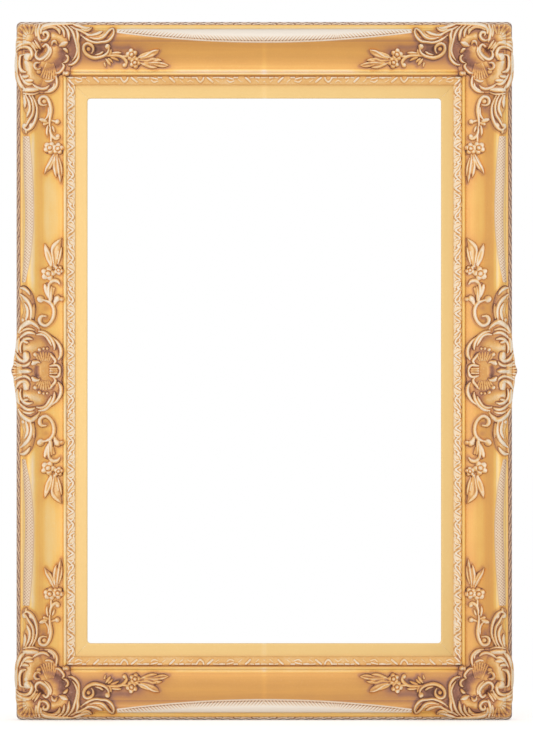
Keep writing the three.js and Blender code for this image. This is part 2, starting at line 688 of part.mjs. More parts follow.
// Pivot of the turn button on each side, in the middle of the rail's length
function buttonPivot(side) {
  const upright = side % 2 === 0;
  const offset = rebateStart * (upright ? 1 : endScale) - buttonSetback;
  const distance = (upright ? frameWidth : frameHeight) / 2 - offset;
  return new THREE.Vector2(-distance, 0).rotateAround(new THREE.Vector2(), side * Math.PI / 2);
}

const strapPlaces = [
  ['left', -frameWidth / 2 + strapOffset], ['right', frameWidth / 2 - strapOffset],
];

const railCuts = [];
for (const [, flipX, flipY] of cornerFlips) {
  railCuts.push(solidOf(mirrored(mergeVertices(cornerNail(seatGap)), flipX, flipY)));
}
for (const side of [0, 1, 2, 3]) {
  const pivot = buttonPivot(side);
  railCuts.push(screwHole().translate(pivot.x, pivot.y, 0));
}
for (const [, x] of strapPlaces) {
  for (const placeBelow of strapScrewPlaces) {
    railCuts.push(screwHole().translate(x, ringPinHeight - placeBelow, 0));
  }
}
const allCuts = join(railCuts);

for (const side of [0, 1, 2, 3]) {
  const name = sideNames[side];
  const pivot = buttonPivot(side);
  place(`rail_${name}`, geometryOf(rail(side).subtract(allCuts)), gilt);
  place(`lip_strip_${name}`, geometryOf(lipStrip(side)), gilt);
  place(`slip_${name}`, geometryOf(slipStrip(side)), paleGilt);
  place(`turn_button_${name}`, buttonPlate(), brass, pivot.x, pivot.y, side * Math.PI / 2);
  place(`turn_button_screw_${name}`, screw(buttonThickness), steel, pivot.x, pivot.y, side * Math.PI / 2);
}

const corner = cornerCarving();
const sprayAlongTop = topSpray();
const sprayAlongSide = sideSpray();
const bandOnSide = sideBand();
const middle = middleCarving();
const sprayInMiddle = middleSpray();
const bandOnTop = topBand();
const nail = mergeVertices(cornerNail(0));
const bumper = new THREE.CylinderGeometry(bumperRadius, bumperRadius, bumperThickness - seatGap, 16)
  .rotateX(Math.PI / 2).translate(0, 0, -(bumperThickness + seatGap) / 2);

for (const [name, flipX, flipY] of cornerFlips) {
  place(`corner_carving_${name}`, mirrored(corner, flipX, flipY), gilt);
  place(`end_spray_${name}`, mirrored(sprayAlongTop, flipX, flipY), gilt);
  place(`side_spray_${name}`, mirrored(sprayAlongSide, flipX, flipY), gilt);
  place(`middle_spray_${name}`, mirrored(sprayInMiddle, flipX, flipY), gilt);
  place(`side_crest_band_${name}`, mirrored(bandOnSide, flipX, flipY), gilt);
  place(`corner_nail_${name}`, mirrored(nail, flipX, flipY), steel);
  const x = frameWidth / 2 - bumperOffset;
  const y = frameHeight / 2 - bumperDrop;
  place(`wall_bumper_${name}`, bumper.clone(), rubber, flipX ? x : -x, flipY ? -y : y);
}
place('middle_carving_left', middle, gilt);
place('middle_carving_right', mirrored(middle, true, false), gilt);
place('crest_band_top', bandOnTop, gilt);
place('crest_band_bottom', mirrored(bandOnTop, false, true), gilt);

for (const [name, x] of strapPlaces) {
  const pinDepth = -seatGap - knuckleRadius;
  place(`hanger_strap_${name}`, strap(), steel, x, ringPinHeight);
  place(`hanger_ring_${name}`, hangerRing(), steel, x, ringPinHeight, 0, pinDepth);
  strapScrewPlaces.forEach((placeBelow, i) => {
    const which = i === 0 ? 'upper' : 'lower';
    place(`hanger_screw_${name}_${which}`, screw(strapThickness), steel, x, ringPinHeight - placeBelow);
  });
}

const model = new THREE.Group();
model.add(frame);

export default model;
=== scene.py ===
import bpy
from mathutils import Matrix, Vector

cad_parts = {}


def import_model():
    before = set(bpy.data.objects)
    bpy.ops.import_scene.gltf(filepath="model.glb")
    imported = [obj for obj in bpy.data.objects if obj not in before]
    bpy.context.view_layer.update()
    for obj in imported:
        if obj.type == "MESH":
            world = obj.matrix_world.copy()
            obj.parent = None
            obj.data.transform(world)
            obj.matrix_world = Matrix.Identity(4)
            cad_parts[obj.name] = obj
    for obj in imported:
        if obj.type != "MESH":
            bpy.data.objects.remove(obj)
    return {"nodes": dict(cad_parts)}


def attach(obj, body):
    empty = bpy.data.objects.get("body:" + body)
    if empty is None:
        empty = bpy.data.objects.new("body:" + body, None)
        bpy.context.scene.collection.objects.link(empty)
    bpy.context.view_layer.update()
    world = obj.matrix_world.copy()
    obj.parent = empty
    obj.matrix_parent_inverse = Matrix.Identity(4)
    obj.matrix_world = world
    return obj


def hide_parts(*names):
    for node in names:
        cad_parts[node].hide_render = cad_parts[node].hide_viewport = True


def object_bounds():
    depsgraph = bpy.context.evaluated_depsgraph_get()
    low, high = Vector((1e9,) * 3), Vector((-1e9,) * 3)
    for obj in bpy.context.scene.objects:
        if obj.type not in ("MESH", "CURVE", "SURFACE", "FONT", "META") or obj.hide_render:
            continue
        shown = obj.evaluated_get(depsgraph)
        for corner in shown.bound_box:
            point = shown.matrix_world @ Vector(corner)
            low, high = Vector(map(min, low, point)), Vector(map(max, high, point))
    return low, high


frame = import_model()
cad_box = [list(corner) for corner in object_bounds()]

import math

import bpy
import numpy as np

# Carved and gilded picture frame. Plan places are in millimetres from the top left outer corner:
# u to the right, v down, and height out from the back of the rails. Every piece is worked out for
# one corner or one side and turned over for the others. Offsets run in from the outer edge and are
# those of the uprights; on the end rails, which are wider, they are stretched by END_SCALE.

WIDTH = 600
HEIGHT = 845
SIDE_RAIL = 85.5
END_RAIL = 92
END_SCALE = END_RAIL / SIDE_RAIL
OUTER_RADIUS = 6
SIGHT_RADIUS = 4
BACK_GAP = 6                # from the wall to the back of the rails
RING_DROP = 210             # from the top of the frame to the hanger rings, where height is zero
HIGHEST = 44.3              # the carving stays under the CAD's highest point
MITRE_GAP = 0.08
SUNK = 0.4                  # how deep a carving is bedded in what it lies on
OVERHANG_UNDERSIDE = 16.5
CARVING_MAT = 2.4           # thickness of the ground that a corner or middle carving's scrolls stand on
CARVING_CELL = 0.62         # side of a cell of its grid
SPRAY_MAT = 0.8
SPRAY_CELL = 0.5

SIDES = ("left", "bottom", "right", "top")
CORNERS = (("top_left", False, False), ("top_right", True, False),
           ("bottom_left", False, True), ("bottom_right", True, True))


# Moulding of the rails: offsets from the outer edge, and heights above the rails' back
WALL_TOP = 22
EDGE_END = 5
EDGE_TOP = 29.6
FILLET_END = 7.8
FILLET_TOP = 30.2
CREST_MIDDLE = 15.5
CREST_RADIUS = 8
CREST_TOP = 37.5
CREST_END = 21.2
COVE_RUN = 34.42            # width of the cove, from the crest to the bead
COVE_RISE = 18.38
COVE_FLOOR = 17
BEAD_START = 55.8
BEAD_RADIUS = 2.25
BEAD_CENTRE = 18.2          # height of its section's centre
LIP_START = 60.6
LIP_END = 70.5
LIP_TOP = 19
LIP_FALL = 0.4              # for each millimetre inwards
LIP_STRIP_START = 61
LIP_BED_START = 60.7        # the rail's own slope under the lip strip
LIP_BED_TOP = 15.5
LIP_BED_FALL = 0.245
RAIL_REBATE_START = 64      # the slip lies in the rail's rebate
RAIL_REBATE_DEPTH = 11
PICTURE_REBATE_START = 79.2
PICTURE_REBATE_DEPTH = 6.5
SLIP_TOP = 10.7

# Crest band of an end rail
BAND_OUTSIDE = 9.39         # from the rail's outer edge to the band's
BAND_MIDDLE_WIDTH = 16.5
BAND_END_WIDTH = 5
BAND_HALF_LENGTH = 178

# The right upright and the right ends of the end rails lie in a little shade, which begins and is
# full at these distances from the right edge
SHADE_START = 120
SHADE_FULL = 60


def moulding(offset):
    """Height of the rail at an offset from its outer edge.

    A quarter round edge, a flat fillet, a round crest, a cove whose height falls with the square of
    the distance to its foot, a half round bead and the lip's straight slope.
    """
    t = np.asarray(offset, float)
    bead_end = BEAD_START + 2 * BEAD_RADIUS
    edge = WALL_TOP + (EDGE_TOP - WALL_TOP) * np.sqrt(1 - (1 - np.clip(t / EDGE_END, 0, 1)) ** 2)
    fillet = EDGE_TOP + (FILLET_TOP - EDGE_TOP) * np.clip((t - EDGE_END) / (FILLET_END - EDGE_END), 0, 1)
    crest = CREST_TOP - CREST_RADIUS + np.sqrt(np.clip(CREST_RADIUS ** 2 - (t - CREST_MIDDLE) ** 2, 0, None))
    cove = COVE_FLOOR + COVE_RISE * np.clip((BEAD_START - t) / COVE_RUN, 0, 1.2) ** 2
    bead = BEAD_CENTRE + np.sqrt(np.clip(BEAD_RADIUS ** 2 - (t - BEAD_START - BEAD_RADIUS) ** 2, 0, None))
    high = np.where(t < EDGE_END, edge, fillet)
    high = np.where(t > FILLET_END, np.maximum(crest, fillet), high)
    high = np.where(t > CREST_END, cove, high)
    high = np.where((t > BEAD_START) & (t < bead_end), bead, high)
    return np.where(t >= LIP_START, LIP_TOP - LIP_FALL * (np.minimum(t, LIP_END) - LIP_START), high)


def offset_of(u, v):
    """Distance in from the outer edge, taken to the rounded corner inside its square."""
    plain = np.minimum(u, v / END_SCALE)
    a = OUTER_RADIUS - u
    b = OUTER_RADIUS - v
    return np.where((a > 0) & (b > 0), OUTER_RADIUS - np.hypot(a, b), plain)


# Meshes

def world(u, v, height):
    """Plan place and height in millimetres to metres in the frame's own axes."""
    return np.stack([u - WIDTH / 2, -(BACK_GAP + height), RING_DROP - v], -1) * 0.001


def two_sheets(top, bottom, cells=None):
    """Faces of a solid between two sheets of one grid.

    The kept cells of the top sheet, the same cells of the bottom sheet turned over, and a wall
    along each edge that has a kept cell on one side only. Without cells the whole grid is kept.
    """
    rows, columns = top.shape[0] - 1, top.shape[1] - 1
    if cells is None:
        cells = np.ones((rows, columns), bool)
    index = np.arange((rows + 1) * (columns + 1)).reshape(rows + 1, columns + 1)
    below = index.size
    a, b, c, d = index[:-1, :-1], index[1:, :-1], index[1:, 1:], index[:-1, 1:]
    faces = [np.stack([a, b, c, d], -1)[cells], np.stack([d, c, b, a], -1)[cells] + below]
    padded = np.pad(cells, 1)
    rims = ((padded[1:-1, :-2], a, b), (padded[2:, 1:-1], b, c),
            (padded[1:-1, 2:], c, d), (padded[:-2, 1:-1], d, a))
    for neighbour, start, end in rims:
        edge = cells & ~neighbour
        faces.append(np.stack([end, start, start + below, end + below], -1)[edge])
    points = np.concatenate([top.reshape(-1, 3), bottom.reshape(-1, 3)])
    kinds = np.concatenate([np.full(len(part), kind) for part, kind in zip(faces, (0, 1, 2, 2, 2, 2))])
    return points, np.concatenate(faces), kinds


def volume_sign(points, faces):
    """Sign of the sum of the pyramids from the points' mean to each face."""
    centre = points[faces].mean((0, 1))
    p, q, r, s = (points[faces[:, k]] - centre for k in range(4))
    return np.sign(np.einsum("ij,ij", p, np.cross(q, r)) + np.einsum("ij,ij", p, np.cross(r, s)))


def make_piece(name, solid, finishes, tone, plan, nodes=(), sharp=50):
    """A closed mesh with its tone and plan map, riding on the frame in place of the CAD nodes named.

    A second finish goes on the bottom sheet. Edges sharper than the angle in degrees stay sharp.
    """
    points, faces, kinds = solid
    used, faces = np.unique(faces, return_inverse=True)
    faces = faces.reshape(-1, 4)
    points = points[used]
    if volume_sign(points, faces) < 0:
        faces = faces[:, ::-1]
    mesh = bpy.data.meshes.new(name)
    mesh.vertices.add(len(points))
    mesh.vertices.foreach_set("co", points.ravel())
    mesh.loops.add(faces.size)
    mesh.loops.foreach_set("vertex_index", np.ascontiguousarray(faces).ravel())
    mesh.polygons.add(len(faces))
    mesh.polygons.foreach_set("loop_start", np.arange(0, faces.size, 4))
    for finish in finishes:
        mesh.materials.append(finish)
    if len(finishes) > 1:
        mesh.polygons.foreach_set("material_index", (kinds == 1).astype(np.int32))
    mesh.update(calc_edges=True)
    mesh.validate()
    mesh.shade_smooth()
    mesh.set_sharp_from_angle(angle=math.radians(sharp))

    def on_both_sheets(values):
        """The grid's values for the top sheet and again for the bottom one, at the points in use."""
        return np.concatenate([values.reshape(-1, values.shape[-1])] * 2)[used]

    shade = mesh.attributes.new("tone", "FLOAT", "POINT")
    shade.data.foreach_set("value", on_both_sheets(tone[..., None]).astype(np.float32).ravel())
    across = mesh.uv_layers.new(name="plan")
    across.data.foreach_set("uv", (on_both_sheets(plan)[faces.ravel()] * 0.001).astype(np.float32).ravel())
    piece = bpy.data.objects.new(name, mesh)
    bpy.context.scene.collection.objects.link(piece)
    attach(piece, "frame")
    if nodes:
        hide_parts(*nodes)


# Relief: rolls, swells and hollows, each a height and listed places (u, v, half width)
ROUNDED_RIM = 1.6           # width of the rounding at a carving's edge
LEAST_LIFT = 0.25           # a carving stands at least so far above the moulding
CUT_DEPTH = 0.45            # of the line cut beside a roll


def smooth(places, steps=5):
    """Points on a Catmull-Rom curve through the places."""
    p = np.array(places, float)
    if len(p) == 1:
        p = np.vstack([p, p + (0.02, 0, 0)])
    p = np.vstack([2 * p[0] - p[1], p, 2 * p[-1] - p[-2]])
    t = np.linspace(0, 1, steps, endpoint=False)[:, None, None]
    a, b, c, d = p[:-3], p[1:-2], p[2:-1], p[3:]
    run = 0.5 * (2 * b + (c - a) * t + (2 * a - 5 * b + 4 * c - d) * t ** 2
                 + (3 * b - a - 3 * c + d) * t ** 3)
    return np.vstack([run.transpose(1, 0, 2).reshape(-1, 3), p[-2]])


def tapered(places):
    """A smooth path whose two ends thin to two thirds of their set width."""
    path = smooth(places)
    if len(places) > 2:
        share = np.linspace(0, 1, len(path))
        path[:, 2] *= 0.64 + 0.36 * step(np.minimum(share, 1 - share), 0, 0.22)
    return path


def rosette(u, v, radius, turn):
    """Rolls of a flower: five petals that touch, about a button set off by a ring cut round it."""
    rise = 2.4
    around = np.radians(turn + np.arange(5) * 360 / 5)
    ring = [(u + 0.4 * radius * math.cos(a), v + 0.4 * radius * math.sin(a), 0.09 * radius)
            for a in np.linspace(0, 2 * math.pi, 9)]
    buds = [[rise, (u + 0.64 * radius * math.cos(a), v + 0.64 * radius * math.sin(a), 0.37 * radius)]
            for a in around]
    return buds + [[rise + 0.6, (u, v, 0.32 * radius)], [-1.4, *ring]]


def fan(u, v, near, far, first, last, ribs):
    """Rolls of a fan: low ribs about a centre, evenly turned from the first to the last angle."""
    rolls = []
    for angle in np.radians(np.linspace(first, last, ribs)):
        reach = [(u + r * math.cos(angle), v + r * math.sin(angle)) for r in (near, (near + far) / 2, far)]
        rolls.append([0.6, (*reach[0], 0.8), (*reach[1], 1.0), (*reach[2], 1.1)])
    return rolls


def nearest(path, u, v):
    """Distance from each point to the nearest leg of a path, and the half width there."""
    a, b = path[:-1], path[1:]
    leg = b[:, :2] - a[:, :2]
    size = (leg ** 2).sum(1) + 1e-12
    du = u[..., None] - a[:, 0]
    dv = v[..., None] - a[:, 1]
    share = np.clip((du * leg[:, 0] + dv * leg[:, 1]) / size, 0, 1)
    away = (du - share * leg[:, 0]) ** 2 + (dv - share * leg[:, 1]) ** 2
    best = away.argmin(-1)
    picked = np.take_along_axis(share, best[..., None], -1)[..., 0]
    half = a[best, 2] + picked * (b[best, 2] - a[best, 2])
    return np.sqrt(np.take_along_axis(away, best[..., None], -1)[..., 0]), np.maximum(half, 0.3)


def inside_outline(outline, u, v):
    """Distance to a closed outline, positive inside it."""
    ring = smooth([(*p, 0) for p in outline + outline[:1]], 3)
    away, _ = nearest(ring, u, v)
    a, b = ring[:-1], ring[1:]
    crosses = (a[:, 1] > v[..., None]) != (b[:, 1] > v[..., None])
    rise = np.where(a[:, 1] == b[:, 1], 1, b[:, 1] - a[:, 1])
    reach = a[:, 0] + (b[:, 0] - a[:, 0]) * (v[..., None] - a[:, 1]) / rise
    odd = (crosses & (u[..., None] < reach)).sum(-1) % 2 == 1
    return np.where(odd, away, -away)


def blurred(values, weight, spread):
    """Mean of the values round each point under a bell of that spread in cells, where weight is set."""
    span = int(3 * spread) + 1
    bell = np.exp(-0.5 * (np.arange(-span, span + 1) / spread) ** 2)
    bell /= bell.sum()

    def run(field):
        """Sum of the neighbours' values times the bell, down the grid and then across it."""
        for axis in (0, 1):
            pad = [(0, 0), (0, 0)]
            pad[axis] = (span, span)
            wide = np.pad(field, pad)
            size = field.shape[axis]
            field = sum(k * wide.take(range(i, i + size), axis) for i, k in enumerate(bell))
        return field

    return run(values * weight) / np.maximum(run(weight), 1e-3)


def step(value, low, high):
    """Smooth step from 0 at low to 1 at high."""
    t = np.clip((value - low) / (high - low), 0, 1)
    return t * t * (3 - 2 * t)


def painted_light_and_wash_patches(table, u, v):
    """Sum of soft patches: each is an amount and places (u, v, reach) that it follows."""
    total = np.zeros(u.shape)
    for amount, *places in table:
        away, reach = nearest(smooth(places, 3), u, v)
        total = total + amount * np.exp(-(away / reach) ** 2)
    return total


def wash_rub_and_painted_light_tone(high, soft, crest, lift, weight, cell):
    """Tone of the gilding: dark wash and painted shade in the low places, gold on the forms, and pale rub and
    painted highlight on crests.

    Swells and roll crests are lighter than the mat: gold on the forms, and on the crests a pale rub and a
    painted highlight. Height below the mean nearby darkens it: brown wash held in the hollows and painted
    shade. Sides that face out of the frame's corner are lighter than those that face its middle, on the fine
    forms and again on the broad ones: painted light on the sides towards the corner and painted shade on
    those towards the middle.
    """
    near = high - blurred(high, weight, 1.2 / cell)
    wide = high - blurred(high, weight, 3.4 / cell)
    slope_v, slope_u = np.gradient(blurred(lift, weight, 0.5 / cell), cell)
    fall_v, fall_u = np.gradient(blurred(lift, weight, 2 / cell), cell)
    swell = step(soft, 0.3, 2.6)
    tone = 0.575 + 0.17 * swell + 0.3 * crest * (1 - 0.3 * swell)
    # Painted light on the sides that face out of the corner, painted shade on those that face its middle
    tone = tone + 0.26 * np.tanh(0.7 * (slope_u + slope_v)) + 0.14 * np.tanh(1.4 * (fall_u + fall_v))
    # Places above the mean nearby are lighter, rub and painted highlight; those below are darker, wash and
    # painted shade
    tone = tone + 0.08 * step(near, 0.04, 0.45)
    return tone - 0.17 * step(-near, 0.05, 0.5) - 0.1 * step(-wide, 0.1, 1.3)


def relief(corner, size, cell, outline, swells, rolls, patches, mat, height_of):
    """A carved piece on a fine grid.

    The ground is the moulding with a thin mat on it, soft swells are added, each roll raises a half
    round along its curve with a cut beside it, and rolls of negative height are scooped out. Grid
    points close to the edge of the carving are moved onto it. Rolls are made a tenth wider than set
    on a carving, and a fifth wider on a spray, which has no outline of its own. Over the outer edge
    the tone is a little lighter, since less wash is left there.
    """
    columns = int(size[0] / cell)
    rows = int(size[1] / cell)
    u, v = np.meshgrid(corner[0] + cell * np.arange(columns + 1), corner[1] + cell * np.arange(rows + 1))
    edge = inside_outline(outline, u, v) if outline else np.full(u.shape, -9.0)
    crown = np.zeros(u.shape)
    crest = np.zeros(u.shape)
    cut = np.zeros(u.shape)
    soft = np.zeros(u.shape)
    scoop = np.zeros(u.shape)
    for kind, rows_of in (("swell", swells), ("roll", rolls)):
        for rise, *places in rows_of:
            path = tapered(places) if kind == "roll" else smooth(places)
            reach = path[:, 2].max() + 3
            low = np.floor((path[:, :2].min(0) - reach - corner) / cell).astype(int).clip(0)
            top = np.ceil((path[:, :2].max(0) + reach - corner) / cell).astype(int).clip(0)
            part = (slice(low[1], top[1] + 1), slice(low[0], top[0] + 1))
            away, half = nearest(path, u[part], v[part])
            if kind == "roll" and rise > 0:
                half = half * (1.1 if outline else 1.2)
            x = away / half
            if kind == "swell":
                soft[part] = np.maximum(soft[part], rise * np.clip(1 - x ** 2, 0, None) ** 1.5)
                if not outline:
                    edge[part] = np.maximum(edge[part], 0.9 * half - away)
            elif rise < 0:
                scoop[part] = np.maximum(scoop[part], -rise * np.clip(1 - x ** 2, 0, None))
            else:
                round_top = np.sqrt(np.clip(1 - x ** 2, 0, None))
                ridge = round_top * min(1, 0.3 + rise / 3.4)
                crest[part] = np.where(rise * round_top > crown[part], ridge, crest[part])
                crown[part] = np.maximum(crown[part], rise * round_top)
                cut[part] = np.maximum(cut[part], CUT_DEPTH * np.exp(-((away - half - 0.3) / 0.5) ** 2))
                edge[part] = np.maximum(edge[part], half - away)
    slope_v, slope_u = np.gradient(edge, cell)
    steep = np.maximum(slope_u ** 2 + slope_v ** 2, 0.25)
    close = np.abs(edge) < 0.62 * cell
    u = np.where(close, u - edge * slope_u / steep, u)
    v = np.where(close, v - edge * slope_v / steep, v)
    edge = np.where(close, 0, edge)
    kept = edge >= 0
    cells = kept[:-1, :-1] & kept[1:, :-1] & kept[1:, 1:] & kept[:-1, 1:]
    # Cells that meet another at a corner alone come out, so that the solid is closed
    for _ in range(3):
        pinched = cells[:-1, :-1] & cells[1:, 1:] & ~cells[:-1, 1:] & ~cells[1:, :-1]
        cells[:-1, :-1] &= ~pinched
        pinched = cells[1:, :-1] & cells[:-1, 1:] & ~cells[:-1, :-1] & ~cells[1:, 1:]
        cells[1:, :-1] &= ~pinched
    rim = np.sqrt(1 - (1 - np.clip(edge / ROUNDED_RIM, 0, 1)) ** 2)
    ground, under = height_of(u, v)
    lift = rim * (mat + soft) + crown - cut * (crown <= 0) * rim - scoop
    lift = np.maximum(lift, LEAST_LIFT)
    high = np.minimum(ground + lift, HIGHEST)
    # Tone with painted shade and highlight, together with wash and rub, from the relief's shape and from the
    # patches
    tone = wash_rub_and_painted_light_tone(high - 0.6 * ground, soft, crest, lift, kept.astype(float), cell)
    tone = tone + painted_light_and_wash_patches(patches, u, v) * (1 - 0.45 * crest)
    tone = tone + 0.16 * (under == OVERHANG_UNDERSIDE)
    return u, v, high, under, cells, np.clip(tone, 0, 1)


def over_rails(u, v):
    """The moulding under a corner piece, and the underside bedded in it."""
    t = offset_of(u, v)
    ground = moulding(t)
    return ground, np.where(t > 0.3, ground - SUNK, OVERHANG_UNDERSIDE)


def over_upright(u, v):
    """The same on the middle of an upright, where only u counts."""
    ground = moulding(u)
    return ground, np.where(u > 0.3, ground - SUNK, OVERHANG_UNDERSIDE)


# Corner carving: a fan in the corner, two C-scrolls, a ribbon loop, a shell and two fronds
CORNER_OUTLINE = [
    (-1, 38), (-1, 25), (1, 16), (0.7, 9), (4, 4.3), (9, 3), (16, 3.5), (28, 3.5), (33, 2.5), (42, 1),
    (60, 0.8), (69, 1), (77, 4.3), (86, 6.5), (91, 6), (93, 8.5), (90, 12), (93, 14.5), (99, 13),
    (104, 11.5), (108, 12), (112, 8), (116, 6.5), (119.5, 8), (120.5, 13), (118.5, 19), (114.5, 24.5),
    (109, 27), (99, 27.5), (92, 25.8), (86, 22.8), (80.5, 20), (77.3, 24), (77.3, 43), (73, 50.5),
    (66, 55), (65.5, 63), (61, 67), (56, 64), (51, 66), (51, 76), (46, 83), (40, 86.8), (31, 87.3),
    (23, 90), (25.5, 98), (27.2, 105), (27, 114), (25.5, 121), (21.5, 130), (15, 134.5), (13, 137),
    (7.5, 134), (6.5, 128), (11, 121), (12.5, 113), (8.5, 105), (8.5, 97), (6.5, 89), (3, 80),
    (0.5, 75), (-2, 64), (-2, 45),
]
CORNER_SWELLS = [
    [2.8, (15, 21, 9)],
    [2.2, (46, 19, 6), (54, 22, 7), (60, 27, 6)],
    [3.4, (14, 50, 5), (18, 57, 8.5), (20, 66, 8.5), (27, 72, 7)],
    [4.6, (37, 47, 12), (45, 42, 15)],
    [2.2, (88, 19, 4), (97, 19, 5), (107, 18, 4.5)],
    [1.6, (33, 74, 7), (42, 72, 6)],
    [1.4, (15, 100, 6), (18, 115, 6)],
]
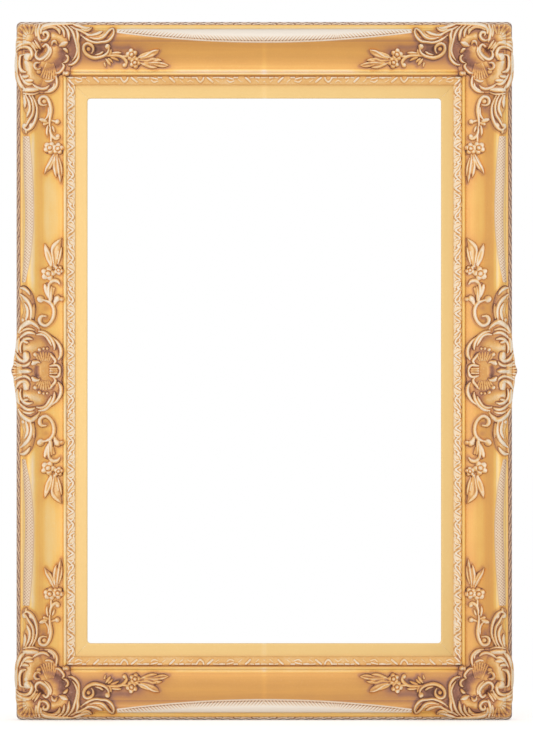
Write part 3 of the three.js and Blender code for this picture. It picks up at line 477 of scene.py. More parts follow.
CORNER_ROLLS = [
    # fan in the corner
    [0.7, (15, 15.5, 1.2), (12.4, 10, 1.5), (9.4, 5.2, 1.6)],
    [0.7, (17, 15, 1.1), (16.6, 10, 1.4), (16, 5, 1.6)],
    [0.7, (19.2, 15.5, 1.1), (21, 10, 1.4), (22, 5.2, 1.5)],
    [0.7, (13.2, 16.8, 1.1), (9.2, 12, 1.4), (5.4, 7.8, 1.6)],
    [0.7, (12, 19, 1.1), (7, 16.4, 1.4), (2.6, 13.6, 1.5)],
    [0.7, (11, 21.5, 1.1), (6, 20.4, 1.4), (1.4, 19.4, 1.4)],
    [1.0, (12, 24.4, 1.2), (6, 24.8, 1.5), (0.6, 25.4, 1.4)],
    [2.4, (28.6, 4.2, 1.9), (27, 12, 2.2), (28, 20, 2), (29.5, 25, 1.5)],
    [1.6, (24.5, 5, 1.2), (24, 12, 1.5), (24.6, 19, 1.2)],
    # upper scroll and its fingers
    [3.2, (30.5, 15, 2), (31, 9.6, 2.4), (35, 6, 2.6), (42, 4.1, 2.6), (50, 3.3, 2.4), (60, 3, 2.1),
     (68.5, 3.2, 1.6)],
    [3.4, (33.6, 10.6, 1.4), (38, 8, 1.6), (44, 7, 1.7), (49.5, 7.6, 1.6)],
    [3.8, (29.5, 22.6, 1.6), (33, 23.6, 1.9), (37, 22.5, 2), (39.4, 19, 2), (38.8, 15.4, 2),
     (35.8, 13.6, 2.1), (33.4, 15, 2), (34.4, 18, 1.6)],
    [3.0, (42, 6.4, 1.5), (48, 8.2, 2), (52, 11, 2.1), (53.3, 15.4, 1.5)],
    [3.2, (50, 5, 1.4), (55, 8.2, 1.6), (58, 13, 1.7), (58.8, 19, 1.4)],
    [3.2, (56, 4.6, 1.4), (61.5, 9.7, 1.6), (64, 16, 1.9), (64.5, 23, 1.5)],
    [2.6, (61, 4.6, 1.2), (66, 9.3, 1.5), (69.5, 15, 1.6), (71.4, 22, 1.5), (73.3, 29, 1.6), (73.8, 36, 1.6),
     (71.5, 42, 1.5), (68, 46.5, 1.2)],
    [3.0, (73.5, 12, 1.9), (75.2, 17, 2.2), (75, 24, 1.9), (75.9, 30, 1.7), (76, 37, 1.7), (75.2, 43.6, 2),
     (71.4, 49, 2.1), (67, 51.6, 1.9), (63.5, 52, 1.7)],
    [2.6, (53, 29.5, 1.9), (57.5, 28, 2.9), (62, 26, 2.1)],
    [2.8, (43, 28.8, 1.2), (44.5, 25.2, 1.5), (47.5, 24.8, 1.6), (49.6, 27.8, 1.2)],
    [-1.2, (46.3, 29.5, 2.2)],
    # ribbon loop and the strands that cross to it
    [3.6, (33, 30.4, 2.5), (36.2, 28.2, 1.9), (39, 31, 1.9), (39.2, 36, 2), (36, 41, 2.1), (31, 45.2, 2.1),
     (27, 45.6, 1.9), (24.4, 42.6, 1.9), (24.5, 38, 1.7), (26, 35.6, 1.4)],
    [2.2, (41.8, 31, 1.2), (41.9, 37, 1.5), (39, 42.6, 1.5), (34.5, 47.2, 1.4)],
    [-1.6, (32.5, 34, 3.0), (31, 38.5, 4.2), (29, 41.5, 2.6)],
    [2.4, (20.5, 25.5, 1.2), (23, 29.5, 1.5), (26, 33, 1.4)],
    [2.4, (22.8, 23.5, 1.2), (26, 28.2, 1.5), (29.2, 33, 1.4)],
    # scroll on the upright
    [2.6, (0, 31.4, 1.6), (5, 28.6, 2.1), (12, 27, 2.4), (18, 28, 2.2), (22, 32, 2), (23.6, 36, 1.5)],
    [3.2, (1, 35.4, 1.5), (5, 32.2, 1.7), (12, 31.5, 2), (17, 33.5, 2.1), (19.3, 37.2, 2.1), (19.6, 42, 2),
     (17.6, 46.6, 1.6)],
    [3.8, (14.6, 43, 4.6)],
    [-1.8, (12, 37.6, 2.2), (16, 38.4, 1.6)],
    [3.0, (9.4, 40.6, 1.4), (5.6, 41.6, 1.6), (4.6, 46, 1.7), (4.4, 52, 1.9), (5.3, 57, 2), (8, 60.8, 2.1),
     (12, 62, 1.7)],
    [2.2, (0.6, 38.5, 1.6), (0, 47, 2), (0, 56, 2.1), (1.2, 62, 1.7)],
    [2.6, (1.4, 64, 1.5), (3.2, 71.4, 2), (6.6, 78, 2.2), (10, 81.4, 1.9)],
    [2.6, (5, 64.4, 1.4), (9, 71.8, 1.6), (14.5, 76.4, 1.9), (20, 76, 1.6)],
    [2.2, (7.8, 66.5, 1.5), (11, 67.6, 2.1), (15, 67, 1.7)],
    [2.2, (11.5, 71.3, 1.5), (16, 72.6, 2.4), (20.5, 72.2, 1.7)],
    [3.2, (9.6, 83.8, 2.4), (14, 83.6, 2.8), (20, 83.4, 2.8), (26, 83, 2.5)],
    [2.0, (9, 87.2, 1.1), (15, 88.4, 1.4), (22, 88.4, 1.2), (27, 86.2, 1.1)],
    [2.8, (28.6, 50.2, 1.2), (24.6, 50.4, 1.5), (22.8, 53, 1.6), (23.5, 56.4, 1.6), (26.3, 58.5, 1.5),
     (29.4, 56.6, 1.2)],
    [-1.6, (27, 53.6, 2)],
    [2.2, (27.6, 61, 2.5)],
    [2.4, (20.9, 76.8, 1.4), (26, 80.2, 1.7), (31, 81.6, 1.9), (36, 80.6, 1.7), (39.5, 77.4, 1.5)],
    # shell: ribs, scalloped rim and the hollows beside it
    *fan(42, 38, 13, 31, 77, 113, 7),
    [1.6, (35, 71.6, 1.2), (39.5, 72.4, 1.5), (44.6, 70, 1.4)],
    [2.8, (57.4, 33, 1.6), (60, 34.4, 1.9), (62, 37.2, 1.6)],
    [2.8, (59.8, 40.4, 1.4), (62.2, 42.4, 1.6), (62.5, 45.6, 1.7), (60.2, 48.4, 1.6), (57, 49.4, 1.2)],
    [2.8, (55.5, 50.5, 1.4), (57.5, 53.6, 1.7), (55.2, 57.8, 1.9), (51.5, 61.4, 1.9), (48, 62, 1.6)],
    [-1.0, (55, 38, 4.2), (55.5, 45, 4.4)],
    [2.8, (61, 62.4, 3)],
    [1.8, (57.4, 60.4, 1.5), (57, 63.6, 1.5)],
    [3.2, (47.8, 66.2, 1.9), (49.1, 71, 2), (48.7, 77, 2.1), (45.3, 82, 2.1), (40.4, 84.8, 1.9),
     (35, 85.6, 1.5)],
    [2.4, (45.6, 74, 1.2), (45.3, 77.6, 1.4), (42.6, 81, 1.5), (38.6, 82.8, 1.2)],
    # frond along the end rail
    [2.6, (69.5, 3.8, 1.6), (75, 5.5, 2), (80, 7.3, 2.1), (85, 8.5, 2), (88.4, 7.5, 1.5)],
    [2.4, (66, 6, 1.2), (72, 9.2, 1.5), (78, 11.6, 1.6), (83, 14.4, 1.5), (88, 16.9, 1.5), (93.5, 17.5, 1.2)],
    [2.6, (79.5, 9.8, 1.2), (85, 11.7, 1.6), (89, 10.5, 1.7), (91, 8.2, 1.4)],
    [2.8, (91.6, 17, 1.4), (98, 15.5, 1.9), (103.6, 13, 1.9)],
    [2.4, (90, 20.2, 1.2), (97, 22, 1.6), (104, 21, 1.7), (108.5, 17.3, 1.7), (112, 12.8, 1.6),
     (116, 8.9, 1.7)],
    [2.8, (78.6, 17, 1.2), (83, 20.8, 1.6), (88, 23.8, 1.7), (94, 25.8, 1.7), (99, 26.1, 1.7),
     (103.5, 25.4, 1.6), (109, 25, 1.7), (113.8, 22.4, 1.9), (117.4, 17.8, 1.7), (118.6, 13, 1.6),
     (117.4, 9.4, 1.5)],
    [-1.8, (112, 17, 1.8), (114.5, 13.5, 1.6)],
    [-1.6, (82.6, 17.6, 1.2), (88, 20.6, 1.2)],
    # frond down the upright
    [2.6, (9.8, 90, 1.4), (11.2, 97, 1.9), (11.2, 104, 1.5)],
    [2.6, (12, 89.8, 1.4), (16, 98, 1.7), (17.2, 106, 1.9), (14.8, 112.6, 1.6), (13.6, 115.4, 1.2)],
    [2.6, (16.4, 90, 1.4), (20, 97, 1.6), (21.4, 106, 1.7), (20, 114, 1.7), (15.6, 121, 1.6), (12, 128, 1.5)],
    [2.8, (20, 90.8, 1.5), (23.6, 97.6, 1.6), (25.6, 105, 1.7), (25.2, 114, 2), (23.2, 121, 2.2),
     (19.4, 128.2, 2.4), (14, 132, 1.9), (9.4, 129, 1.6)],
    [2.6, (10, 126.6, 2.9)],
    [2.4, (19, 126.4, 3.1)],
    [1.8, (12.6, 133, 1.6), (13, 135.6, 1.1)],
]

# Painted shade and highlight on it, with wash and rub: amount, then places (u, v, reach)
CORNER_PATCHES = [
    [-0.3, (52, 36, 6), (56, 43, 6), (50, 49, 6)],
    [-0.3, (67, 22, 4), (69, 34, 5), (66, 46, 4.5)],
    [-0.16, (5, 12, 5), (10, 8, 5), (16, 8, 5), (23, 9, 5)],
    [-0.2, (43, 11.5, 3), (50, 14, 3.5)],
    [-0.25, (31, 36, 4)],
    [-0.2, (80, 23, 3), (82, 28, 3)],
    [-0.12, (42, 76, 5)],
    [0.1, (2, 30, 5), (2, 48, 5), (3, 66, 5)],
    [0.12, (9, 74, 6), (17, 82, 6), (26, 83, 5)],
    [-0.1, (36, 57, 7), (44, 56, 7)],
    [0.03, (17, 20.5, 5), (15, 23, 5)],
    [0.03, (13, 52, 5), (17, 58, 6), (21, 66, 6)],
    [0.06, (54, 29, 5)],
    [0.08, (12, 42, 5)],
    [0.04, (54, 20, 6)],
]

# Painted shade on the rails in the bays beside the sprays, at one corner
BAY_SHADE_PATCHES = [
    [-0.16, (84, 40, 13), (118, 40, 13), (150, 38, 11)],
    [-0.34, (97, 33, 5), (102, 33, 5)],
    [-0.16, (87, 33, 3)],
    [-0.2, (112, 29, 3), (124, 31.5, 3), (136, 31, 3)],
    [-0.2, (122, 47.5, 4), (128, 48, 3)],
    [-0.14, (148, 36, 5)],
    [-0.3, (33, 107, 4.5)],
    [-0.14, (33, 96, 3)],
    [-0.22, (33, 127, 3)],
    [-0.16, (38, 140, 3)],
]

# Low grounds under the flowers and leaves of the sprays, and the painted shade and highlight on and about
# them
END_SPRAY_SWELLS = [[1.6, (139.6, 40.4, 7.4)], [1.6, (143.6, 49.6, 7.4)], [1.2, (152, 44, 3), (164, 42, 4.4)],
                    [1.2, (156, 50, 3), (170, 50, 3.6)]]
END_SPRAY_PATCHES = [[-0.25, (84, 38, 16), (120, 42, 16)], [-0.2, (150, 45, 16), (180, 50, 12)]]
SIDE_SPRAY_SWELLS = [[1.6, (39.6, 153, 8)], [1.6, (50.4, 153.6, 8)], [1.2, (43, 168, 3.4), (40, 177, 3)],
                     [1.2, (48.6, 168, 3.6), (50.6, 182, 3.4)]]
MIDDLE_SPRAY_SWELLS = [
    [1.6, (38.6, 118, 8.4)],
    [1.6, (50.8, 121.6, 6.4)],
    [1.0, (41.4, 128, 2.6), (38.6, 138, 4), (36.6, 147, 3)],
    [1.0, (46.6, 128, 3.4), (48.4, 140, 5.4), (50, 150, 5)],
    [1.2, (38, 104, 4), (41, 92, 4.4), (41, 84, 3)],
    [1.2, (50, 88, 5)],
]
MIDDLE_SPRAY_PATCHES = [
    [-0.2, (37.4, 144, 2), (39.6, 135, 2.2)],
    [-0.2, (38, 63.4, 2.6)],
    [-0.16, (48.4, 105.6, 2)],
    [-0.12, (51.6, 131, 3), (56, 140, 2)],
    [0.08, (40, 100, 5), (41, 88, 5)],
    [0.08, (38.6, 118, 8)],
]

# The same painted shade by rise from the middle line
MIDDLE_BAY_SHADE_PATCHES = [
    [-0.26, (36, 76, 4)],
    [-0.2, (36, 63, 3)],
    [-0.2, (34, 54, 3)],
    [-0.18, (36, 140, 2.4)],
    [-0.16, (47, 108, 3)],
]

# Spray on an end rail: a small scroll, a stem with a curl, two flowers and four leaves
END_SPRAY_ROLLS = [
    [3.2, (91.3, 38, 1.5), (93.2, 35, 1.7), (93, 31, 1.9), (90, 28.2, 2), (86, 27.1, 1.9), (82.6, 28.9, 2),
     (81.6, 32.4, 2), (82.4, 36.2, 2.1), (85.2, 39.8, 2.2), (89.5, 42.3, 2.4), (95, 43.8, 2.4),
     (100.6, 43, 2.2), (106, 41.3, 2.1), (110.2, 38, 2), (112, 34, 1.9), (111.6, 30.6, 2)],
    [1.6, (87.4, 33.4, 2.5)],
    [3.0, (110.6, 30.6, 3.1)],
    [2.4, (104.6, 36.6, 1.6), (101, 38.8, 1.4), (96, 39.8, 1.1)],
    [2.2, (114.6, 34.2, 1.4), (113.8, 38, 1.5), (112, 40.6, 1.4)],
    [2.0, (108, 44.6, 1.2), (111, 48.2, 1.9), (113.6, 52, 1.7)],
    [1.8, (111, 44, 1.1), (114, 46.4, 1.5), (116.2, 49, 1.2)],
    [1.8, (106.6, 50, 1.4), (107.6, 53.6, 1.1)],
    [2.4, (109, 41.2, 1.9), (116, 40.9, 1.9), (122, 41, 1.9), (127, 42.2, 2), (131, 45, 2.1),
     (133.4, 48.6, 2), (132.8, 52, 1.9)],
    [2.6, (131, 52.4, 2.9)],
    [2.2, (115.4, 38, 1.2), (121, 37.6, 1.6), (126.6, 37.6, 1.4)],
    [1.8, (114.6, 43.2, 1.2), (119, 44.4, 1.7), (123.6, 46.6, 1.2)],
    [2.0, (128, 41.6, 1.5), (132, 42, 1.5), (136, 41.2, 1.5)],
    *rosette(143.6, 49.4, 7.2, 150),
    *rosette(139.6, 40, 7.4, 262),
    # leaves
    [1.6, (146, 44, 2.2), (152, 42, 3.2), (159, 40.6, 4), (165, 38.6, 3.6), (170, 36.2, 2.6),
     (172.6, 34.4, 1)],
    [2.8, (147, 43.6, 1.2), (155, 41.6, 1.4), (161, 38.2, 1.5), (166, 35.6, 1.4), (172, 34.4, 0.9)],
    [2.2, (150, 44.6, 1), (158, 43, 1.1), (165, 40.8, 1.1), (168.6, 39, 0.9)],
    [1.4, (148, 46.2, 2), (156, 46.6, 3.2), (165, 46, 3.1), (172, 46.2, 2.4), (176.4, 46.4, 1)],
    [2.6, (148, 46.4, 1.1), (158, 47, 1.2), (164, 45.4, 1.4), (168.4, 45, 1.6)],
    [2.2, (166, 47.4, 1.1), (171.6, 46.2, 1.4), (176, 46.6, 0.9)],
    [1.4, (150, 48.6, 2), (160, 50.4, 3), (170, 51.6, 3), (178, 52.6, 2.6), (184, 52.4, 1.1)],
    [2.6, (160, 49.6, 1), (168, 49.2, 1.2), (176, 50, 1.4), (183.4, 52, 1)],
    [2.6, (167, 52, 1.1), (174, 53.4, 1.5), (179, 53.8, 1.2), (184, 52.6, 0.9)],
    [3.0, (150.4, 49.8, 1.4), (156, 52.4, 1.7), (163, 54.6, 1.9), (169.6, 55, 1.5)],
]

# Spray down an upright from the corner
SIDE_SPRAY_ROLLS = [
    [3.0, (36.6, 100.6, 1.5), (32, 101.4, 1.7), (28.8, 99.2, 1.9), (28.2, 95, 2), (30.4, 91.6, 2),
     (35, 91, 2.1), (38.6, 94, 2.2), (41, 100, 2.4), (42, 107, 2.4), (41.2, 114, 2.2), (40.4, 120, 2.1),
     (40.4, 126, 2)],
    [1.6, (34, 96.4, 2.7)],
    [2.4, (38.4, 104, 1.2), (39, 109, 1.4), (38, 114, 1.5), (35, 118.4, 1.5)],
    [2.4, (29.4, 118.4, 2.7), (33, 119.6, 2.4), (36, 120.4, 2.4)],
    [1.8, (34, 124, 1.9), (37.6, 122.6, 1.6)],
    [3.0, (49.4, 121, 3.1)],
    [2.0, (41.6, 119, 1.5), (45.6, 120.4, 1.7)],
    [2.0, (43.4, 126.6, 1.4), (45, 130, 1.6), (46, 133.6, 1.2)],
    [2.2, (37.8, 126, 1.5), (37, 132, 1.6), (37.2, 137.4, 1.2)],
    [2.4, (41, 126.6, 1.6), (41.2, 133, 1.7), (43.6, 138.6, 2), (48, 141.6, 2.1), (51.6, 140.8, 1.6)],
    [2.4, (50, 138.6, 2.8)],
    [2.0, (42, 138, 1.5), (42, 144, 1.5)],
    *rosette(50, 153.4, 7.4, 60),
    *rosette(40.6, 152.6, 7.8, 225),
    # leaves
    [1.4, (45, 161, 2.4), (42, 169, 3.2), (39, 176, 2.9), (34.6, 183.4, 1.2)],
    [2.8, (44.8, 161, 1.2), (41, 169, 1.5), (37, 176, 1.6), (34.2, 183.6, 1)],
    [2.2, (45.6, 164, 1.1), (43.2, 172, 1.2), (40.4, 178, 1)],
    [1.4, (46.4, 161, 2.4), (46, 172, 3), (47, 181, 2.6), (48.2, 188, 1.1)],
    [2.8, (46.6, 163, 1.2), (45.4, 173, 1.5), (46.4, 181, 1.5), (48, 187.6, 1)],
    [1.4, (49, 161, 2.4), (51, 174, 3.1), (52.6, 186, 2.5), (53.2, 194.4, 1)],
    [2.8, (48.6, 163, 1.2), (50, 172, 1.5), (51.6, 184, 1.5), (53, 194.6, 0.9)],
    [2.4, (51.4, 165, 1.1), (54, 175, 1.5), (55, 185.6, 1)],
]

# Middle carving of an upright; here v is the rise from the middle line, and the other half mirrors it
MIDDLE_HALF = [
    (-6.5, 0), (-3.8, 8), (-3.4, 14), (-2, 22), (-0.5, 35), (0.5, 45), (3, 53), (6, 59), (6.5, 67), (9, 72),
    (6.5, 82), (4, 91), (3.5, 100), (8, 103.5), (14, 101.5), (20, 94), (23, 84), (24.5, 75), (22.8, 62),
    (25, 53), (31, 49.5), (38, 46.5), (45, 42), (51, 37), (56, 29), (57.5, 20), (55, 12), (56.5, 5),
]
MIDDLE_OUTLINE = [(u, -v) for u, v in reversed(MIDDLE_HALF)] + MIDDLE_HALF[1:]
MIDDLE_SWELLS = [
    [1.4, (36, 0, 11), (36, 8, 11), (34, 16, 11)],
    [2.2, (13, 29, 7), (22, 30, 9), (30, 33, 9)],
    [1.6, (48, 24, 4), (50, 16, 4)],
    [1.4, (14, 88, 6), (18, 76, 6), (16, 62, 5)],
    [1.6, (7, 0, 5), (14, 0, 5)],
]
MIDDLE_ROLLS = [
    [3.2, (17.6, 0, 2.7), (12, 0, 2.9), (6, 0, 1.9)],
    [1.6, (9, 2, 1.2), (2, 2.6, 1.7), (-4.4, 3.4, 1.5)],
    [1.6, (7, 0, 1.1), (1, 0, 1.6), (-5.2, 0, 1.5)],
    [1.6, (7, 4, 1.1), (2, 6, 1.5), (-2.6, 7.6, 1.5)],
    [2.6, (-1.8, 11, 1.5), (3, 7.8, 1.6), (10, 6.2, 1.7), (15, 8, 1.7), (17.4, 11, 1.5)],
    [3.0, (-0.8, 22, 1.5), (2, 16.8, 1.9), (6, 12.9, 2.2), (11, 12.3, 2.2), (14.8, 16, 2.1),
     (14.7, 21.6, 1.7)],
    [3.6, (12, 20.6, 2.8), (11.8, 16.6, 3.4)],
    [2.2, (1.8, 23, 2), (1.6, 31, 2.4), (3.6, 39, 2.2)],
    [3.0, (6, 22, 1.5), (5, 28, 1.7), (6.4, 34, 1.7), (10, 37.8, 1.9), (15, 39.3, 2), (19.6, 38.4, 1.6)],
    [2.6, (9, 35.8, 1.4), (11.6, 35.2, 1.6), (14.8, 34.4, 1.4)],
    [-1.6, (12, 32.2, 1.4), (14.5, 32, 1)],
    [3.0, (4, 38.4, 1.2), (8, 42.8, 1.6), (14, 46.2, 2), (19, 46.2, 2), (22.8, 44.8, 1.5)],
    [1.8, (4, 45.4, 1.2), (9, 49.4, 1.5), (16, 51, 1.6), (22, 49.4, 1.4)],
    [3.4, (3, 46.6, 1.5), (7, 53, 2.4), (13, 57.6, 2.9), (19, 59, 2.9), (24.4, 55.6, 2.5), (28.2, 50.8, 1.9)],
    [3.0, (27.6, 48, 1.7), (34, 47, 2), (40, 42.3, 2.1), (44, 36, 2.1), (46.1, 30, 2), (45.8, 26, 1.6)],
    [2.6, (25, 43.8, 1.4), (31, 44.4, 1.6), (36, 41.8, 1.6), (39.8, 36.2, 1.7), (42.2, 31, 1.4)],
    [2.8, (44, 40.4, 1.2), (49, 35.8, 2), (52.6, 30, 2.4), (54.2, 24, 2.4), (53.4, 18, 2.1),
     (50.8, 13.8, 1.6)],
    [2.6, (28.3, 25.6, 2.1)],
    [1.8, (33.2, 27, 1.6)],
    [1.8, (37.4, 27, 1.6)],
    [2.6, (23.4, 20, 2.4)],
    [3.2, (20.4, 8.4, 3), (22.8, 10.4, 2.8), (26.6, 11, 1.6), (29, 9.6, 1)],
    [-1.6, (25.4, 0, 4.4), (26, 4, 3.9)],
    *fan(35, 0, 12.5, 22.8, 70, 121, 7),
    [2.6, (41, 21, 1.4), (44, 17, 1.7), (47.3, 12, 1.7), (45.4, 9.2, 1.4)],
    [2.8, (40.6, 6, 1.4), (44, 6.7, 1.6), (47.8, 7.2, 1.7), (51.4, 5.2, 1.9), (53, 0, 1.9)],
    [-1.4, (48.4, 4.6, 1.3)],
    [1.8, (41, 2.8, 1.1), (48.4, 2.6, 1.4)],
    [1.8, (41, 0, 1.1), (49, 0, 1.4)],
    [2.4, (5.6, 100.4, 1.5), (10, 99.8, 2), (14.4, 96.4, 1.9), (17, 92.4, 1.5)],
    [2.6, (5.8, 92.4, 1.5), (11, 88, 2), (15.4, 83, 2.1), (18.4, 76, 2.1), (19.2, 69, 2.1), (18, 62.6, 1.7)],
    [2.4, (10.8, 81.4, 1.2), (13.8, 75, 1.7), (14, 68, 1.7), (12.2, 61.6, 1.5)],
    [2.2, (21.8, 80, 1.2), (22, 71, 1.5), (20.8, 63.6, 1.4)],
    [1.8, (8.4, 61.6, 2.1)],
]
# Painted shade and highlight on the middle carving, with wash and rub: amount, then places (u, rise, reach)
MIDDLE_PATCHES = [
    [-0.1, (25.6, -3.6, 3.6), (25.6, 3.6, 3.6)],
    [0.06, (4, 16, 4), (8, 46, 6), (14, 58, 6)],
    [-0.14, (1.6, 22, 2.4), (1.6, 30, 2.6), (3.8, 38, 2.4)],
    [-0.14, (30, 18, 6), (37, 19, 6)],
    [-0.1, (40, 28, 4)],
    [-0.2, (47, 20, 3), (47, 30, 3)],
    [-0.12, (46.4, 0, 3)],
    [-0.26, (-5, 0, 5)],
    [0.16, (12, 18, 5)],
    [0.12, (8, 92, 7), (16, 80, 8), (12, 66, 7)],
    [0.05, (14, 29, 6), (22, 30, 5)],
    [-0.1, (34, 38, 5)],
    [-0.03, (36, 0, 6)],
]

# Spray beside the middle carving, by rise from the middle line
MIDDLE_SPRAY_ROLLS = [
    [3.0, (35.8, 66.4, 2.2), (31.2, 66.4, 2.6), (28.8, 62.4, 2.6), (30, 57.6, 2.3), (35.4, 55.2, 2.2),
     (41.4, 59.2, 2.2), (45, 66.4, 2.4), (45.4, 74.4, 2.5), (42.6, 80.8, 2.3), (37.4, 84.4, 2.2),
     (32.4, 86, 2.2)],
    [2.8, (29.6, 87, 4)],
    [2.6, (45.6, 80, 2), (47.8, 85.4, 2.9), (50.2, 89.4, 4.2)],
    [2.2, (54.6, 87.4, 2.7)],
    [2.4, (41.2, 84, 2.4), (42, 92, 1.8), (42.8, 102, 1.7)],
    [2.8, (40, 86, 1.9), (38.9, 94, 1.8), (39.4, 102.4, 1.8), (41.4, 107, 2.1), (45, 109.8, 2.4),
     (49.4, 109, 2.6), (52, 105.8, 2.3)],
    [2.4, (38.4, 89, 1.6), (35.8, 96.6, 1.9), (34.6, 104, 2.3)],
    [2.0, (44, 93.4, 1.4), (45.2, 100, 1.8)],
    *rosette(50.9, 122.2, 6, 60),
    *rosette(38.6, 118, 8.8, 150),
    [1.4, (42, 127, 2.2), (39, 138, 3.5), (36.4, 147, 2.8), (34.4, 153.6, 1.1)],
    [2.8, (43, 128.6, 1.2), (41.8, 137, 1.5), (38.8, 145.4, 1.6), (34.6, 153, 1.1)],
    [1.4, (46, 127, 3), (47.6, 140, 4.8), (49.2, 150, 4.6), (53.8, 158.6, 1.5)],
    [3.0, (45.2, 128.6, 1.3), (44, 137, 1.6), (43, 145.6, 1.8), (45, 151.6, 2.3), (49.8, 156.6, 2.1),
     (54.2, 160.6, 1)],
    [2.8, (50.2, 129.6, 1.2), (52.8, 139, 1.7), (54.6, 149.6, 1.2)],
    [2.2, (49.2, 136, 1.1), (50.8, 145, 1.2)],
]

# Patterns that repeat along a side: (along, across, half width) in one repeat of it
LIP_REPEAT = 50.6
LIP_ROLLS = [
    [1.2, (1.5, 1.2, 1.0), (3.5, 4, 1.2), (5.6, 7.2, 1.3), (7.8, 5, 1.2), (9.8, 1.7, 1.0)],
    [1.0, (11.8, 7, 0.9), (14.5, 3, 1.1), (16, 1.6, 0.9)],
    [0.9, (16.8, 2.6, 0.8), (16.8, 5.6, 0.9), (18.8, 7.8, 1.0)],
    [1.1, (18.8, 1.2, 1.0), (22.7, 1.9, 1.2), (25, 4.9, 1.2), (27, 2.8, 1.0)],
    [1.0, (26, 2.6, 0.9), (29, 4.8, 1.2), (31.2, 8, 1.1)],
    [0.8, (24.4, 7.6, 0.9), (27.6, 8.2, 0.8)],
    [1.2, (29.8, 1.2, 0.9), (33.7, 3, 1.1), (36.8, 6, 1.2), (40.7, 7.5, 1.2), (43.9, 5, 1.1), (47, 1.9, 1.0)],
    [0.9, (36.8, 1.9, 0.9), (40.6, 2.6, 1.0), (41.4, 5, 0.8)],
    [0.9, (45.4, 2.8, 0.9), (46.2, 6.6, 1.0), (48.6, 7.8, 0.9)],
]
END_LIP_REPEAT = 92
END_LIP_ROLLS = [
    [1.3, (-1, 1.6, 1.2), (2.6, 4.4, 1.3), (5.4, 6.4, 1.3)],
    [0.9, (6.4, 1.8, 0.9), (12, 1.4, 1.0)],
    [1.2, (13.8, 1.6, 1.2), (17, 1.8, 1.3), (20, 1.6, 1.1)],
    [0.9, (23, 4.8, 0.9), (26.4, 6.8, 1.0), (31, 5.6, 0.9)],
    [0.9, (22.6, 1.6, 0.9), (27, 2.6, 0.9), (30.4, 3.6, 0.8)],
    [1.3, (31.6, 1.5, 1.2), (35.4, 1.7, 1.2)],
    [0.7, (9, 4.2, 0.7), (13, 6.6, 0.9)],
    [0.7, (36.6, 4, 0.7), (40, 6.4, 0.9)],
    [1.3, (45.4, 1.6, 1.2), (48.6, 4.4, 1.3), (51, 6.4, 1.3)],
    [0.9, (51.4, 1.8, 0.9), (55, 1.4, 1.0)],
    [1.2, (57.6, 1.6, 1.2), (61.6, 1.8, 1.3)],
    [0.8, (64.2, 1.5, 0.9), (70, 1.9, 1.0)],
    [1.3, (78, 1.5, 1.0), (79.4, 4.4, 1.1), (82.4, 6.6, 1.2), (85.6, 4.2, 1.1), (86.6, 1.6, 1.0)],
    [1.1, (72.6, 1.6, 1.1), (76.4, 1.5, 1.1)],
    [0.7, (58, 4.4, 0.7), (61, 6.8, 0.9)],
    [0.7, (67, 6.6, 0.8), (70.4, 5, 1.0), (73.6, 6.8, 0.8)],
]
EDGE_REPEAT = 22
EDGE_ROLLS = [
    [0.8, (0, 4.3, 0.7), (6, 3.4, 0.9), (11, 1.6, 0.9), (15, 0.9, 0.6)],
    [0.8, (9, 4.4, 0.6), (14, 3.8, 0.8), (19, 2.2, 0.8), (22, 1.0, 0.6)],
    [0.7, (1, 1.6, 0.6), (5, 0.9, 0.5)],
    [0.6, (16.5, 4.6, 0.5), (20, 4.4, 0.5)],
]

# Tone across a rail by offset from its outer edge: the uprights are golden, the end rails browner. Its dips
# are painted shade: where the edge meets the fillet, in the steep upper cove under the crest, and in the
# creases beside the bead.
UPRIGHT_TONES = [
    (0, 0.46), (1.6, 0.46), (4.2, 0.36), (4.8, 0.6), (6, 0.88), (8, 0.91), (9.5, 0.88), (11.5, 0.8),
    (12.5, 0.8), (16, 0.88), (20, 0.95), (21.6, 0.92), (23.5, 0.84), (28, 0.79), (31, 0.79),
    (34, 0.85), (37, 0.89), (44, 0.87), (50, 0.84), (54, 0.83), (55.2, 0.79), (56, 0.79),
    (56.8, 0.88), (58, 0.94), (60.1, 0.95), (60.4, 0.94), (61, 0.9),
]
END_TONES = [
    (0, 0.46), (1.6, 0.46), (3.2, 0.36), (3.7, 0.6), (4.4, 0.87), (8, 0.92), (9, 0.96), (19, 0.98),
    (22, 0.84), (23.6, 0.62), (27, 0.64), (31, 0.69), (34, 0.71), (39, 0.67), (44, 0.69),
    (48, 0.72), (50.5, 0.75), (52.2, 0.7), (52.8, 0.74), (53.6, 0.92), (56, 0.95), (58.4, 0.92),
    (59, 0.8), (59.5, 0.58), (60.4, 0.56), (61, 0.62),
]


def tone_at(table, offset):
    """Tone at an offset, read off a table between its places."""
    places, tones = np.array(table).T
    return np.interp(offset, places, tones)


def turned_over(u, v, flip_u, flip_v):
    """The same place at another corner."""
    return (WIDTH - u if flip_u else u), (HEIGHT - v if flip_v else v)


def gap_to(rolls, u, v):
    """Distance to the nearest of the rolls' edges."""
    gap = np.full(u.shape, 99.0)
    for rise, *places in rolls:
        if rise > 0:
            away, half = nearest(smooth(places, 3), u, v)
            gap = np.minimum(gap, away - half)
    return gap


